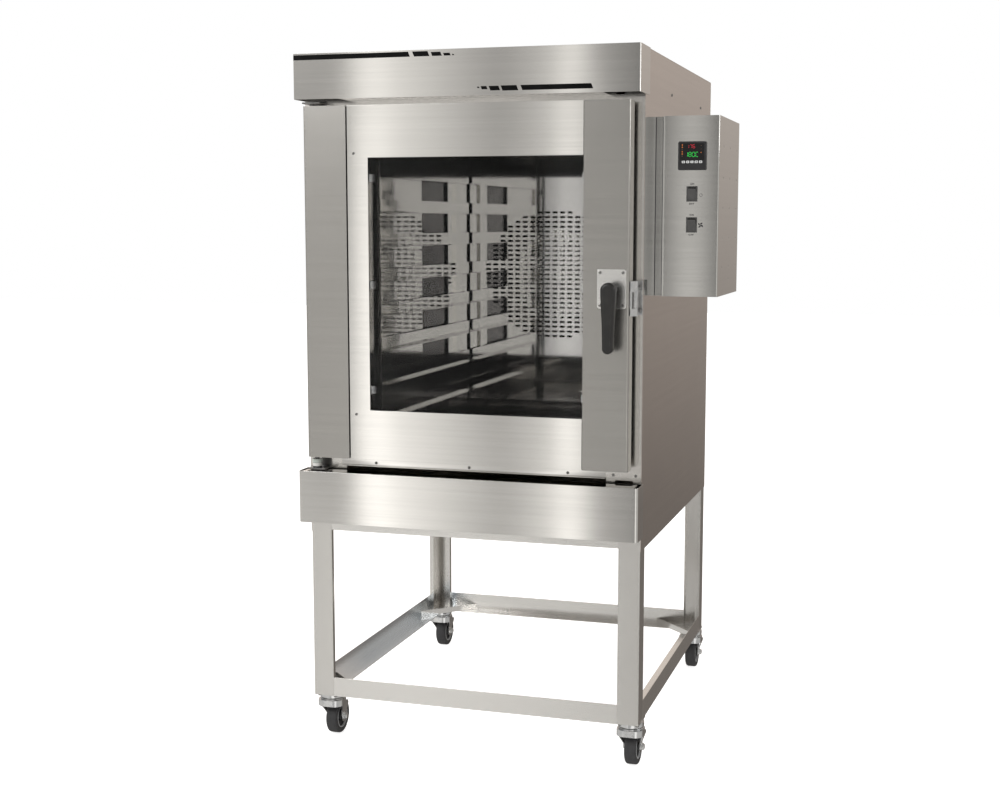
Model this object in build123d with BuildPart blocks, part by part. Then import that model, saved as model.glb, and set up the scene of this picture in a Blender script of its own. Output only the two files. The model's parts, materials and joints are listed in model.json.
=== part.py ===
from build123d import *
import os
from math import cos, radians

# Convection oven on a wheeled stand, with a hinged glass door and a control box on its right side.
# Millimetres. The frame's origin is the middle of the whole part's footprint, on the floor, +Z up.
# Inside this file every place is measured from the cabinet's left side (x), the header's front
# face (y, backwards) and the floor (z), and the two values here carry it to the part's frame.
left = -570.0
front = -541.0

# Driving dimensions of the cabinet and its skins
cabinet_width = 950.0
cabinet_height = 1927.0
frame_y = 70.0
back_y = 1090.0
skin = 1.5
plate = 2.0
header_low = 1807.0
header_depth = 118.0
fascia_low = 653.0
fascia_high = 797.0
panel_low = 614.0

# Driving dimensions of the stand
stand_under = 137.0
stand_top = 670.0
stand_left = 3.0
stand_right = cabinet_width - 3.0
stand_rear = 1088.0
leg_width = 59.0
lip = 14.0
rail_height = 54.0
rail_flange = 50.0

# Driving dimensions of the casters
wheel_radius = 50.0
wheel_width = 34.0
caster_inset_x = 34.0
swivel_front_y = 125.0
swivel_rear_y = 1061.0
trail = 33.0

# Driving dimensions of the oven chamber
mouth_left = 190.0
mouth_right = 808.0
mouth_low = 877.0
mouth_high = 1749.0
chamber_back = 975.0
guard_y = 880.0
fan_x = 496.0
fan_z = 1315.0
rail_count = 8
rail_first = 937.0
rail_pitch = 95.0
rail_face = 36.0

# Driving dimensions of the door
door_left = 25.0
door_right = 925.0
door_low = 837.0
door_high = 1789.0
door_front = 3.0
door_back = 48.0
door_skin = 1.2
window_left = 211.0
window_right = 802.5
window_low = 972.5
window_high = 1651.0
seam_left = 148.0
seam_right = 152.0
hinge_x = 38.0
hinge_y = 35.0
lever_x = 882.0
lever_z = 1310.0

# Driving dimensions of the control box
box_left = cabinet_width - skin
box_right = 1140.0
box_low = 1293.0
box_high = 1748.0
box_back = 408.0
cover_left = 996.0
controller_x = 1071.5
controller_z = 1648.6
rocker_z = (1553.0, 1474.6)
vent_x = 760.0
vent_z = 1650.0
gland_x = 880.0
gland_z = 760.0

os.makedirs("parts", exist_ok=True)


def level(z):
    """A horizontal plane at height z, drawn on from above."""
    return Plane(origin=(left, front, z), x_dir=(1, 0, 0), z_dir=(0, 0, 1))


def facing(y):
    """An upright plane at depth y, drawn on from the front. A positive extrusion comes forward."""
    return Plane(origin=(left, front + y, 0), x_dir=(1, 0, 0), z_dir=(0, -1, 0))


def sideways(x):
    """An upright plane at x, drawn on from the right: its first axis runs backwards."""
    return Plane(origin=(left + x, front, 0), x_dir=(0, 1, 0), z_dir=(1, 0, 0))


def slab(x, y, z, mode=Mode.ADD):
    """A block between two x, two y and two z values, each pair in any order."""
    with Locations((left + min(x), front + min(y), min(z))):
        Box(
            abs(x[1] - x[0]),
            abs(y[1] - y[0]),
            abs(z[1] - z[0]),
            align=(Align.MIN, Align.MIN, Align.MIN),
            mode=mode,
        )


def rod(at, radius, length, axis, mode=Mode.ADD):
    """A round bar that starts at a point and runs along x, y or z."""
    turn = {"x": (0, 90, 0), "y": (-90, 0, 0), "z": (0, 0, 0)}[axis]
    with Locations((left + at[0], front + at[1], at[2])):
        Cylinder(
            radius,
            length,
            rotation=turn,
            align=(Align.CENTER, Align.CENTER, Align.MIN),
            mode=mode,
        )


def finish(builder, name):
    """Names a finished piece and writes it to its own file."""
    builder.part.label = name
    export_step(builder.part, f"parts/{name}.step")


def corners():
    """The stand's four outer corners, each with the directions that lead inwards."""
    for y, inward_y in ((frame_y, 1), (stand_rear, -1)):
        for x, inward_x in ((stand_left, 1), (stand_right, -1)):
            yield x, y, inward_x, inward_y


def caster_places():
    """Name and swivel axis of each caster."""
    for end, y in (("f", swivel_front_y), ("r", swivel_rear_y)):
        yield end + "l", caster_inset_x, y
        yield end + "r", cabinet_width - caster_inset_x, y


# Stand legs: four lipped angles folded from 2 mm sheet
with BuildPart() as stand_legs:
    for x, y, sx, sy in corners():
        height = (stand_under, stand_top)
        slab((x, x + sx * leg_width), (y, y + sy * plate), height)
        slab((x, x + sx * plate), (y, y + sy * leg_width), height)
        slab((x + sx * (leg_width - plate), x + sx * leg_width), (y, y + sy * lip), height)
        slab((x, x + sx * lip), (y + sy * (leg_width - plate), y + sy * leg_width), height)
finish(stand_legs, "stand_legs")


def rail_ring(low, high, flange, flange_low):
    """Four angle rails between the legs: an upright face and one flange turned inwards."""
    face = (low, high)
    fold = (flange_low, flange_low + plate)
    inner_x = (stand_left + leg_width, stand_right - leg_width)
    inner_y = (frame_y + leg_width, stand_rear - leg_width)
    for y, sy in ((frame_y, 1), (stand_rear, -1)):
        slab(inner_x, (y, y + sy * plate), face)
        slab(inner_x, (y, y + sy * flange), fold)
    for x, sx in ((stand_left, 1), (stand_right, -1)):
        slab((x, x + sx * plate), inner_y, face)
        slab((x, x + sx * flange), inner_y, fold)


# Upper rails of the stand, which the oven's floor pan rests on
with BuildPart() as stand_top_frame:
    rail_ring(stand_top - 50.0, stand_top, 40.0, stand_top - plate)
finish(stand_top_frame, "stand_top_frame")

# Lower rails of the stand, with the flange at the bottom
with BuildPart() as stand_bottom_frame:
    rail_ring(stand_under, stand_under + rail_height, rail_flange, stand_under)
finish(stand_bottom_frame, "stand_bottom_frame")

# Corner gussets: triangular plates on the lower rails, with a lip folded up along the long edge
gusset_leg = 150.0
gusset_low = stand_under + plate
gusset_lip = 18.0
caster_plate_x = 31.0
caster_plate_y = 40.0
bolt_x = 24.0
bolt_y = 34.0
bolt_head = 5.5
with BuildPart() as corner_gussets:
    for x, y, sx, sy in corners():
        x0 = x + sx * (plate + 0.2)
        y0 = y + sy * (plate + 0.2)
        with BuildSketch(level(gusset_low)) as triangle:
            with BuildLine():
                Polyline((x0, y0), (x0 + sx * gusset_leg, y0), (x0, y0 + sy * gusset_leg), close=True)
            make_face()
        extrude(amount=plate)
        with BuildSketch(level(gusset_low)) as fold:
            with BuildLine():
                Polyline(
                    (x0 + sx * gusset_leg, y0),
                    (x0, y0 + sy * gusset_leg),
                    (x0, y0 + sy * (gusset_leg - 2.8)),
                    (x0 + sx * (gusset_leg - 2.8), y0),
                    close=True,
                )
            make_face()
        extrude(amount=gusset_lip)
        slab(
            (x0 + sx * 5.0, x0 + sx * 52.0),
            (y + sy * (lip + 1.0), y + sy * (leg_width - plate - 1.0)),
            (stand_under, gusset_low),
        )
    for x, y, sx, sy in corners():
        notch = (stand_under, gusset_low + gusset_lip)
        slab(
            (x + sx * (leg_width - plate - 0.5), x + sx * (leg_width + 0.5)),
            (y, y + sy * (lip + 0.5)),
            notch,
            mode=Mode.SUBTRACT,
        )
        slab(
            (x, x + sx * (lip + 0.5)),
            (y + sy * (leg_width - plate - 0.5), y + sy * (leg_width + 0.5)),
            notch,
            mode=Mode.SUBTRACT,
        )
finish(corner_gussets, "corner_gussets")

# Caster top plates, each with its upper ball cup and the bore that the king pin turns in
pin_radius = 8.0
running_gap = 0.05
cup_low = 118.0
with BuildPart() as caster_plates:
    for name, x, y in caster_places():
        slab(
            (x - caster_plate_x, x + caster_plate_x),
            (y - caster_plate_y, y + caster_plate_y),
            (stand_under - 4.0, stand_under),
        )
        rod((x, y, cup_low), 36.0, stand_under - 4.0 - cup_low, "z")
    cup_rims = caster_plates.part.edges().filter_by(GeomType.CIRCLE).group_by(Axis.Z)[0]
    fillet(cup_rims, 5.0)
    for name, x, y in caster_places():
        rod((x, y, cup_low), pin_radius + running_gap, 40.0, "z", mode=Mode.SUBTRACT)
        for dx in (-bolt_x, bolt_x):
            for dy in (-bolt_y, bolt_y):
                rod((x + dx, y + dy, cup_low), 4.2, 40.0, "z", mode=Mode.SUBTRACT)
finish(caster_plates, "caster_plates")

# Caster forks: a pressed crown with two cheeks that close in on the axle, the king pin and the bolt
crown_half = 37.0
crown_length = 67.0
crown_bend = 24.0
crown_top = 114.0
crown_low = 96.0
cheek_top = 104.0
cheek_half = 22.0
cheek_round = 17.0
crown_back = 3.5
fork_sheet = 2.5
race_radius = 33.0
race_gap = 0.3
axle_radius = 5.0
axle_head = 9.5
for name, x, y in caster_places():
    axle_y = y + trail
    crown_middle = (x, y - crown_back)
    with BuildPart() as fork:
        with BuildSketch(facing(y + 80.0)) as cheeks:
            for side in (-1, 1):
                with BuildLine():
                    Polyline(
                        (x + side * crown_half, cheek_top),
                        (x + side * crown_half, crown_low),
                        (x + side * cheek_half, wheel_radius + 8.0),
                        (x + side * cheek_half, wheel_radius - cheek_round),
                        (x + side * (cheek_half - fork_sheet), wheel_radius - cheek_round),
                        (x + side * (cheek_half - fork_sheet), wheel_radius + 8.0),
                        (x + side * (crown_half - fork_sheet), crown_low),
                        (x + side * (crown_half - fork_sheet), cheek_top),
                        close=True,
                    )
                make_face()
        extrude(amount=120.0)
        with BuildSketch(sideways(x - 50.0)) as cheek:
            with BuildLine():
                Polyline(
                    (y - 14.0, cheek_top),
                    (y + 22.0, cheek_top),
                    (y + 36.0, crown_low - 12.0),
                    (axle_y + cheek_round, wheel_radius),
                    (axle_y - cheek_round, wheel_radius),
                    (y - 2.0, crown_low - 16.0),
                    (y - 14.0, crown_low),
                    close=True,
                )
            make_face()
            with Locations((axle_y, wheel_radius)):
                Circle(cheek_round)
        extrude(amount=100.0, mode=Mode.INTERSECT)
        with BuildSketch(level(crown_low)) as crown:
            with Locations(crown_middle):
                RectangleRounded(2 * crown_half, crown_length, crown_bend)
        extrude(amount=crown_top - crown_low)
        with BuildSketch(level(crown_low)) as hollow:
            with Locations(crown_middle):
                RectangleRounded(
                    2 * (crown_half - fork_sheet),
                    crown_length - 2 * fork_sheet,
                    crown_bend - fork_sheet,
                )
        extrude(amount=crown_top - crown_low - fork_sheet, mode=Mode.SUBTRACT)
        slab(
            (x - crown_half + fork_sheet, x + crown_half - fork_sheet),
            (y, y + 40.0),
            (crown_low - 1.0, crown_top - 7.0),
            mode=Mode.SUBTRACT,
        )
        rod((x, y, crown_top), race_radius, cup_low - race_gap - crown_top, "z")
        rod((x, y, crown_top - fork_sheet), pin_radius, 22.0, "z")
        rod((x - cheek_half - 7.0, axle_y, wheel_radius), axle_radius, 2 * cheek_half + 16.0, "x")
        with BuildSketch(sideways(x + cheek_half)) as nut:
            with Locations((axle_y, wheel_radius)):
                RegularPolygon(axle_head, 6)
        extrude(amount=7.0)
        with BuildSketch(sideways(x - cheek_half - 6.0)) as head:
            with Locations((axle_y, wheel_radius)):
                RegularPolygon(axle_head, 6)
        extrude(amount=6.0)
    finish(fork, "caster_fork_" + name)

# Wheels: a tread with rounded shoulders moulded on a dished hub, each turning on its axle bolt
half_width = wheel_width / 2
rim_radius = wheel_radius - 11.0
for name, x, y in caster_places():
    axle_y = y + trail
    hub_plane = Plane(
        origin=(left + x, front + axle_y, wheel_radius),
        x_dir=(1, 0, 0),
        z_dir=(0, -1, 0),
    )
    with BuildPart() as wheel:
        with BuildSketch(hub_plane) as section:
            with BuildLine():
                Polyline(
                    (-half_width, wheel_radius - 7),
                    (-half_width + 1, rim_radius),
                    (-half_width + 2, rim_radius - 4),
                    (-7, rim_radius - 8),
                    (-7, 18),
                    (-half_width + 1, 15),
                    (-half_width, axle_radius + running_gap),
                    (half_width, axle_radius + running_gap),
                    (half_width - 1, 15),
                    (7, 18),
                    (7, rim_radius - 8),
                    (half_width - 2, rim_radius - 4),
                    (half_width - 1, rim_radius),
                    (half_width, wheel_radius - 7),
                )
                ThreePointArc(
                    (half_width, wheel_radius - 7),
                    (half_width - 1.5, wheel_radius - 2.6),
                    (half_width - 6, wheel_radius),
                )
                Line((half_width - 6, wheel_radius), (-half_width + 6, wheel_radius))
                ThreePointArc(
                    (-half_width + 6, wheel_radius),
                    (-half_width + 1.5, wheel_radius - 2.6),
                    (-half_width, wheel_radius - 7),
                )
            make_face()
        revolve(axis=Axis((left + x, front + axle_y, wheel_radius), (1, 0, 0)))
    finish(wheel, "wheel_" + name)

# Side panels: one skin each, with flanges turned in at the top and the back
for name, outer, inward in (("left", skin, 1), ("right", cabinet_width - skin, -1)):
    with BuildPart() as side_panel:
        inner = outer + inward * skin
        slab((outer, inner), (frame_y, back_y - skin), (panel_low, cabinet_height - 2 * skin))
        slab(
            (inner, inner + inward * 15.0),
            (back_y - 2 * skin, back_y - skin),
            (stand_top + 10.0, cabinet_height - 2 * skin),
        )
        slab(
            (inner, inner + inward * 15.0),
            (frame_y + 20.0, back_y - 20.0),
            (cabinet_height - 3 * skin, cabinet_height - 2 * skin),
        )
        if inward < 0:
            rod((box_left - 5.0, 240.0, 1500.0), 15.0, 10.0, "x", mode=Mode.SUBTRACT)
    finish(side_panel, "side_panel_" + name)

# Back panel, with two banks of cooling slots for the motor and holes for the vent and the gland
pipe_radius = 25.0
gland_radius = 11.0
with BuildPart() as back_panel:
    with BuildSketch(facing(back_y)) as sheet:
        with Locations((cabinet_width / 2, (panel_low + cabinet_height - 2 * skin) / 2)):
            Rectangle(cabinet_width - 2 * skin, cabinet_height - 2 * skin - panel_low)
        with Locations((vent_x, vent_z)):
            Circle(pipe_radius + 0.3, mode=Mode.SUBTRACT)
        with Locations((gland_x, gland_z)):
            Circle(gland_radius + 0.3, mode=Mode.SUBTRACT)
        with Locations((fan_x, fan_z + 150.0), (fan_x, fan_z - 150.0)):
            with GridLocations(70.0, 16.0, 5, 5):
                SlotOverall(56.0, 6.0, mode=Mode.SUBTRACT)
    extrude(amount=skin)
finish(back_panel, "back_panel")

# Top panel and floor pan
with BuildPart() as top_panel:
    slab(
        (skin, cabinet_width - skin),
        (5.0, back_y),
        (cabinet_height - 2 * skin, cabinet_height - skin),
    )
finish(top_panel, "top_panel")
with BuildPart() as floor_pan:
    slab((5.0, cabinet_width - 5.0), (frame_y + plate, back_y - 4.0), (stand_top, stand_top + plate))
finish(floor_pan, "floor_pan")

# Front frame: strips of plate butt-welded round the oven's mouth. They leave the long air slot under
# the door free, and there is a drain slot beside it and another one over the right post
weld_gap = 0.1
air_slot_low = 787.0
air_slot_high = 810.0
air_slot_left = 111.0
air_slot_right = 853.0
mouth_middle_x = (mouth_left + mouth_right) / 2
mouth_middle_z = (mouth_low + mouth_high) / 2
mouth_width = mouth_right - mouth_left
mouth_height = mouth_high - mouth_low
with BuildPart() as front_frame:
    thick = (frame_y, frame_y + plate)
    beside_slot = (air_slot_low + weld_gap, air_slot_high - weld_gap)
    beside_mouth = (mouth_low + weld_gap, mouth_high - weld_gap)
    slab((stand_left, stand_right), thick, (stand_top, air_slot_low))
    slab((stand_left, air_slot_left), thick, beside_slot)
    slab((air_slot_right, stand_right), thick, beside_slot)
    slab((stand_left, stand_right), thick, (air_slot_high, mouth_low))
    slab((stand_left, mouth_left), thick, beside_mouth)
    slab((mouth_right, stand_right), thick, beside_mouth)
    slab((stand_left, stand_right), thick, (mouth_high, cabinet_height - 2 * skin))
    with BuildSketch(facing(frame_y + plate)) as slots:
        with Locations((901.5, 800.0)):
            SlotOverall(49.0, 8.0)
        with Locations((883.5, 1810.0)):
            SlotOverall(24.0, 7.0)
    extrude(amount=plate, mode=Mode.SUBTRACT)
finish(front_frame, "front_frame")


def wrap_round(depth, bend, edge, stand_off=0.0):
    """Draws a sheet bent round the cabinet's front, with a narrow edge turned in at each end."""
    wide = cabinet_width + 2 * stand_off
    with Locations((cabinet_width / 2, depth / 2)):
        Rectangle(wide, depth)
    fillet(wrap.vertices().group_by(Axis.Y)[0], bend)
    offset(amount=-skin, mode=Mode.SUBTRACT)
    with Locations((cabinet_width / 2, depth)):
        Rectangle(wide - 2 * edge, 3 * skin, mode=Mode.SUBTRACT)


# Header: one folded sheet over the door, open at the back, with a row of vents in its underside
header_bend = 3.0
with BuildPart() as header_fascia:
    with BuildSketch(level(header_low)) as wrap:
        wrap_round(header_depth, header_bend, skin)
    extrude(amount=cabinet_height - header_low)
    slab((skin, cabinet_width - skin), (skin, header_depth), (cabinet_height - skin, cabinet_height))
    slab((130.0, 852.0), (skin, 68.0), (header_low, header_low + skin))
    with BuildSketch(level(header_low)) as vents:
        with Locations((531.5, 25.0)):
            with GridLocations(23.0, 10.0, 28, 1):
                SlotOverall(15.0, 7.0)
    extrude(amount=skin, mode=Mode.SUBTRACT)
finish(header_fascia, "header_fascia")

# Lower fascia: the same fold below the door, with deeper round corners and a shelf along its top. It
# stands a little off the cabinet's sides
fascia_bend = 8.0
fascia_off = 4.0
with BuildPart() as lower_fascia:
    with BuildSketch(level(fascia_low)) as wrap:
        wrap_round(frame_y, fascia_bend, 20.0, fascia_off)
    extrude(amount=fascia_high - fascia_low)
    slab(
        (fascia_bend, cabinet_width - fascia_bend),
        (skin, 50.0),
        (fascia_high - skin, fascia_high),
    )
    slab((fascia_bend, cabinet_width - fascia_bend), (skin, 28.0), (fascia_low, fascia_low + skin))
finish(lower_fascia, "lower_fascia")

# Drip strip under the door, screwed to the frame, with a lip that catches what runs down the door
strip_low = 810.0
strip_high = 827.0
with BuildPart() as drip_strip:
    slab((98.0, 852.0), (frame_y - skin, frame_y), (strip_low, strip_high))
    slab((98.0, 852.0), (frame_y - 12.0, frame_y), (strip_low - skin, strip_low))
finish(drip_strip, "drip_strip")

# Insulation: five slabs of mineral wool round the chamber
liner = 1.5
wool = 50.0
wool_front = frame_y + plate + 4.0
stud_x = (fan_x - 70.0, fan_x + 70.0)
stud_z = (fan_z - 70.0, fan_z + 70.0)
element_radius = 185.0
terminal_spread = 25.0
terminal_x = (fan_x - terminal_spread, fan_x + terminal_spread)
terminal_z = fan_z - (element_radius**2 - terminal_spread**2) ** 0.5
probe_tip = 772.0
probe_y = 600.0
probe_z = 1478.0
with BuildPart() as insulation:
    upright = (mouth_low - liner, mouth_high + liner)
    wide = (mouth_left - liner - wool, mouth_right + liner + wool)
    deep = (wool_front, chamber_back + liner)
    slab((mouth_left - liner - wool, mouth_left - liner), deep, upright)
    slab((mouth_right + liner, mouth_right + liner + wool), deep, upright)
    slab(wide, deep, (mouth_high + liner, mouth_high + liner + wool))
    slab(wide, deep, (mouth_low - liner - wool, mouth_low - liner))
    slab(wide, (chamber_back + liner, chamber_back + liner + 36.0), (mouth_low - 50.0, mouth_high + 50.0))
    rod((fan_x, chamber_back, fan_z), 20.0, 60.0, "y", mode=Mode.SUBTRACT)
    rod((vent_x, chamber_back, vent_z), pipe_radius + 1.0, 60.0, "y", mode=Mode.SUBTRACT)
    for x in stud_x:
        for z in stud_z:
            rod((x, chamber_back, z), 6.0, 60.0, "y", mode=Mode.SUBTRACT)
    for x in terminal_x:
        rod((x, chamber_back, terminal_z), 7.0, 60.0, "y", mode=Mode.SUBTRACT)
    rod((mouth_right, probe_y, probe_z), 8.0, 60.0, "x", mode=Mode.SUBTRACT)
finish(insulation, "insulation")

# Oven liner: the folded steel chamber, open at the front, with a flange behind the front frame
with BuildPart() as oven_liner:
    slab(
        (mouth_left - liner, mouth_right + liner),
        (frame_y + plate, chamber_back + liner),
        (mouth_low - liner, mouth_high + liner),
    )
    slab(
        (mouth_left - 15.0, mouth_right + 15.0),
        (frame_y + plate, frame_y + plate + liner),
        (mouth_low - 15.0, mouth_high + 15.0),
    )
    slab((mouth_left, mouth_right), (frame_y, chamber_back), (mouth_low, mouth_high), mode=Mode.SUBTRACT)
    rod((fan_x, chamber_back, fan_z), 12.0, 10.0, "y", mode=Mode.SUBTRACT)
    rod((vent_x, chamber_back, vent_z), pipe_radius + 0.3, 10.0, "y", mode=Mode.SUBTRACT)
    for x in terminal_x:
        rod((x, chamber_back, terminal_z), 5.2, 10.0, "y", mode=Mode.SUBTRACT)
    rod((mouth_right, probe_y, probe_z), 3.4, 10.0, "x", mode=Mode.SUBTRACT)
finish(oven_liner, "oven_liner")

# Tray racks: eight ledged rails a side on two uprights, held off the wall by studs. Behind the rails a
# wide sheet hangs from each upright and screens the wall in front and at the back
rail_front = 102.0
rail_back = 862.0
rail_face_x = 206.0
ledge = 20.0
upright_deep = 8.0
rack_uprights = ((rail_front, 15.0, (rail_front, 448.0)), (740.0, 35.0, (682.0, rail_back)))
for name, side in (("left", 1), ("right", -1)):
    with BuildPart() as rack:
        wall = mouth_left if side > 0 else mouth_right
        face = rail_face_x if side > 0 else mouth_left + mouth_right - rail_face_x
        for n in range(rail_count):
            z = rail_first + n * rail_pitch
            slab((face - side * skin, face), (rail_front, rail_back), (z, z + rail_face))
            slab((face, face + side * ledge), (rail_front, rail_back), (z, z + skin))
        behind = face - side * upright_deep
        for y, wide, screen in rack_uprights:
            tall = (mouth_low + 20.0, mouth_high - 25.0)
            slab((behind, face - side * (skin + weld_gap)), (y, y + wide), tall)
            slab((behind - side * skin, behind), screen, tall)
            for z in (mouth_low + 80.0, mouth_high - 80.0):
                rod((min(wall, behind), y + 7.5, z), 5.0, abs(behind - wall), "x")
    finish(rack, "rack_" + name)

# Fan guard: the back plate of the tray space, punched with slots inside an oval before the fan
slot_length = 18.0
slot_width = 7.0
slot_pitch_x = 24.8
slot_pitch_z = 15.2
slot_rows = 27
oval_x = 228.0
oval_z = 205.0


def guard_slots():
    """Centres of the guard's slots, row by row, where they fall inside the oval."""
    places = []
    for row in range(slot_rows):
        dz = (row - (slot_rows - 1) / 2) * slot_pitch_z
        for column in range(-9, 10):
            dx = column * slot_pitch_x
            if (dx / oval_x) ** 2 + (dz / oval_z) ** 2 < 1.0:
                places.append((fan_x - 6.0 + dx, fan_z + dz))
    return places


with BuildPart() as fan_guard:
    with BuildSketch(facing(guard_y + skin)) as sheet:
        with Locations((mouth_middle_x, mouth_middle_z)):
            Rectangle(mouth_width - 12.0, mouth_height - 60.0)
        with Locations(*guard_slots()):
            SlotOverall(slot_length, slot_width, mode=Mode.SUBTRACT)
    extrude(amount=skin)
    for x in (230.0, 768.0):
        for z in (930.0, 1696.0):
            rod((x, guard_y + skin, z), 4.0, chamber_back - guard_y - skin, "y")
finish(fan_guard, "fan_guard")

# Heating element: three tubular rings round the fan, joined by the two legs that pass the back wall
element_tube = 4.2
leg_tube = 4.8
with BuildPart() as heating_element:
    for y in (904.0, 925.0, 946.0):
        with Locations(Location((left + fan_x, front + y, fan_z), (90, 0, 0))):
            Torus(element_radius, element_tube)
    for x in terminal_x:
        rod((x, 904.0, terminal_z), leg_tube, 106.0, "y")
finish(heating_element, "heating_element")

# Temperature probe, screwed through the right wall between two rails
with BuildPart() as temperature_probe:
    rod((probe_tip, probe_y, probe_z), 3.0, 94.0, "x")
    with BuildSketch(sideways(mouth_right - 5.0)) as nut:
        with Locations((probe_y, probe_z)):
            RegularPolygon(7.0, 6)
    extrude(amount=5.0)
finish(temperature_probe, "temperature_probe")

# Vent pipe: the steam outlet, from the chamber's back wall out through the back panel
with BuildPart() as vent_pipe:
    rod((vent_x, chamber_back, vent_z), pipe_radius, 150.0, "y")
    rod((vent_x, back_y, vent_z), pipe_radius + 10.0, 2.0, "y")
    rod((vent_x, chamber_back, vent_z), pipe_radius - 1.5, 150.0, "y", mode=Mode.SUBTRACT)
finish(vent_pipe, "vent_pipe")

# Fan motor on four studs behind the chamber
motor_front = 1014.0
shaft_radius = 8.0
with BuildPart() as fan_motor:
    rod((fan_x, motor_front + 2.0, fan_z), 68.0, 68.0, "y")
    fillet(fan_motor.part.edges().filter_by(GeomType.CIRCLE), 6.0)
    slab((fan_x - 85.0, fan_x + 85.0), (motor_front, motor_front + 3.0), (fan_z - 85.0, fan_z + 85.0))
    for x in stud_x:
        for z in stud_z:
            rod((x, chamber_back + liner, z), 5.0, motor_front - chamber_back - liner, "y")
    rod((fan_x, motor_front - 1.0, fan_z), shaft_radius + running_gap, 50.0, "y", mode=Mode.SUBTRACT)
finish(fan_motor, "fan_motor")

# Fan impeller with its shaft: a back disc, ten straight blades and a stiffening ring
blade_count = 10
with BuildPart() as fan_impeller:
    rod((fan_x, 962.0, fan_z), 140.0, 2.0, "y")
    rod((fan_x, 905.0, fan_z), 20.0, 57.0, "y")
    rod((fan_x, 905.0, fan_z), shaft_radius, 155.0, "y")
    for n in range(blade_count):
        blade = Location((left + fan_x, front + 934.0, fan_z), (0, n * 360.0 / blade_count, 0))
        with Locations(blade):
            with Locations((98.0, 0, 0)):
                Box(82.0, 56.0, 2.0)
    with BuildSketch(facing(908.0)) as ring:
        with Locations((fan_x, fan_z)):
            Circle(140.0)
            Circle(120.0, mode=Mode.SUBTRACT)
    extrude(amount=2.0)
finish(fan_impeller, "fan_impeller")

# Door gasket: a soft ring round the mouth on the frame, just short of the closed door
gasket_gap = 0.3
with BuildPart() as door_gasket:
    with BuildSketch(facing(frame_y)) as ring:
        with Locations((mouth_middle_x, mouth_middle_z)):
            RectangleRounded(mouth_width + 32.0, mouth_height + 32.0, 16.0)
            RectangleRounded(mouth_width + 4.0, mouth_height + 4.0, 4.0, mode=Mode.SUBTRACT)
    extrude(amount=frame_y - door_back - gasket_gap)
finish(door_gasket, "door_gasket")

# Door frame: the folded pan that carries the door's skins and glass, with a pivot bush at each end
pan_inset = 1.5
pan_bend = 3.5
pan_left = door_left + pan_inset
pan_right = door_right - pan_inset
pan_low = door_low + pan_inset
pan_high = door_high - pan_inset
opening_left = window_left - 6.0
opening_right = window_right + 5.5
opening_low = window_low - 7.5
opening_high = window_high + 7.0
pan_front = door_front + pan_inset
bush_radius = 11.0
bush_length = 36.0
pivot_radius = 6.0
hook_slot_low = 1274.0
hook_slot_high = 1300.0
hook_front = 26.0
hook_thick = 5.0
with BuildPart() as door_frame:
    slab((pan_left, pan_right), (pan_front, door_back), (pan_low, pan_high))
    fillet(door_frame.part.edges().filter_by(Axis.Z).group_by(Axis.Y)[0], pan_bend)
    slab(
        (pan_left + door_skin, pan_right - door_skin),
        (pan_front, door_back - door_skin),
        (pan_low + door_skin, pan_high - door_skin),
        mode=Mode.SUBTRACT,
    )
    slab(
        (opening_left - door_skin, opening_right + door_skin),
        (pan_front, door_back),
        (opening_low - door_skin, opening_high + door_skin),
    )
    slab(
        (opening_left, opening_right),
        (0.0, door_back),
        (opening_low, opening_high),
        mode=Mode.SUBTRACT,
    )
    rod((hinge_x, hinge_y, pan_low), bush_radius, bush_length, "z")
    rod((hinge_x, hinge_y, pan_high - bush_length), bush_radius, bush_length, "z")
    for z in (pan_low - 1.0, pan_high - bush_length - 1.0):
        rod((hinge_x, hinge_y, z), pivot_radius + running_gap, bush_length + 2.0, "z", mode=Mode.SUBTRACT)
    slab(
        (pan_right - 2.0, pan_right + 1.0),
        (hook_front - 2.0, hook_front + hook_thick + 2.0),
        (hook_slot_low, hook_slot_high),
        mode=Mode.SUBTRACT,
    )
finish(door_frame, "door_frame")

# Door skins. The hinge stile and the handle stile each wrap one long edge of the door
skin_back = door_back - 1.0
stile_bend = 5.0


def stile(outer_x, inner_x, inward):
    """A skin from the door's outer edge to the seam, closed at both ends."""
    with BuildSketch(level(door_low)) as outline:
        outer_bend = stile_bend * cos(radians(45))
        inner_bend = (stile_bend - door_skin) * cos(radians(45))
        with BuildLine():
            Line((outer_x, skin_back), (outer_x, door_front + stile_bend))
            ThreePointArc(
                (outer_x, door_front + stile_bend),
                (outer_x + inward * (stile_bend - outer_bend), door_front + stile_bend - outer_bend),
                (outer_x + inward * stile_bend, door_front),
            )
            Polyline(
                (outer_x + inward * stile_bend, door_front),
                (inner_x, door_front),
                (inner_x, door_front + door_skin),
                (outer_x + inward * stile_bend, door_front + door_skin),
            )
            ThreePointArc(
                (outer_x + inward * stile_bend, door_front + door_skin),
                (outer_x + inward * (stile_bend - inner_bend), door_front + stile_bend - inner_bend),
                (outer_x + inward * door_skin, door_front + stile_bend),
            )
            Polyline(
                (outer_x + inward * door_skin, door_front + stile_bend),
                (outer_x + inward * door_skin, skin_back),
                (outer_x, skin_back),
            )
        make_face()
    return outline.sketch


with BuildPart() as hinge_stile:
    extrude(stile(door_left, seam_left, 1), amount=door_high - door_low)
    slab((door_left + 6.0, seam_left), (door_front + 1.0, skin_back), (door_low, door_low + door_skin))
    slab((door_left + 6.0, seam_left), (door_front + 1.0, skin_back), (door_high - door_skin, door_high))
    slab((seam_left - door_skin, seam_left), (door_front, door_front + 1.5), (door_low, door_high))
    rod((hinge_x, hinge_y, door_low - 5.0), 9.0, door_high - door_low + 10.0, "z", mode=Mode.SUBTRACT)
finish(hinge_stile, "hinge_stile")

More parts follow.
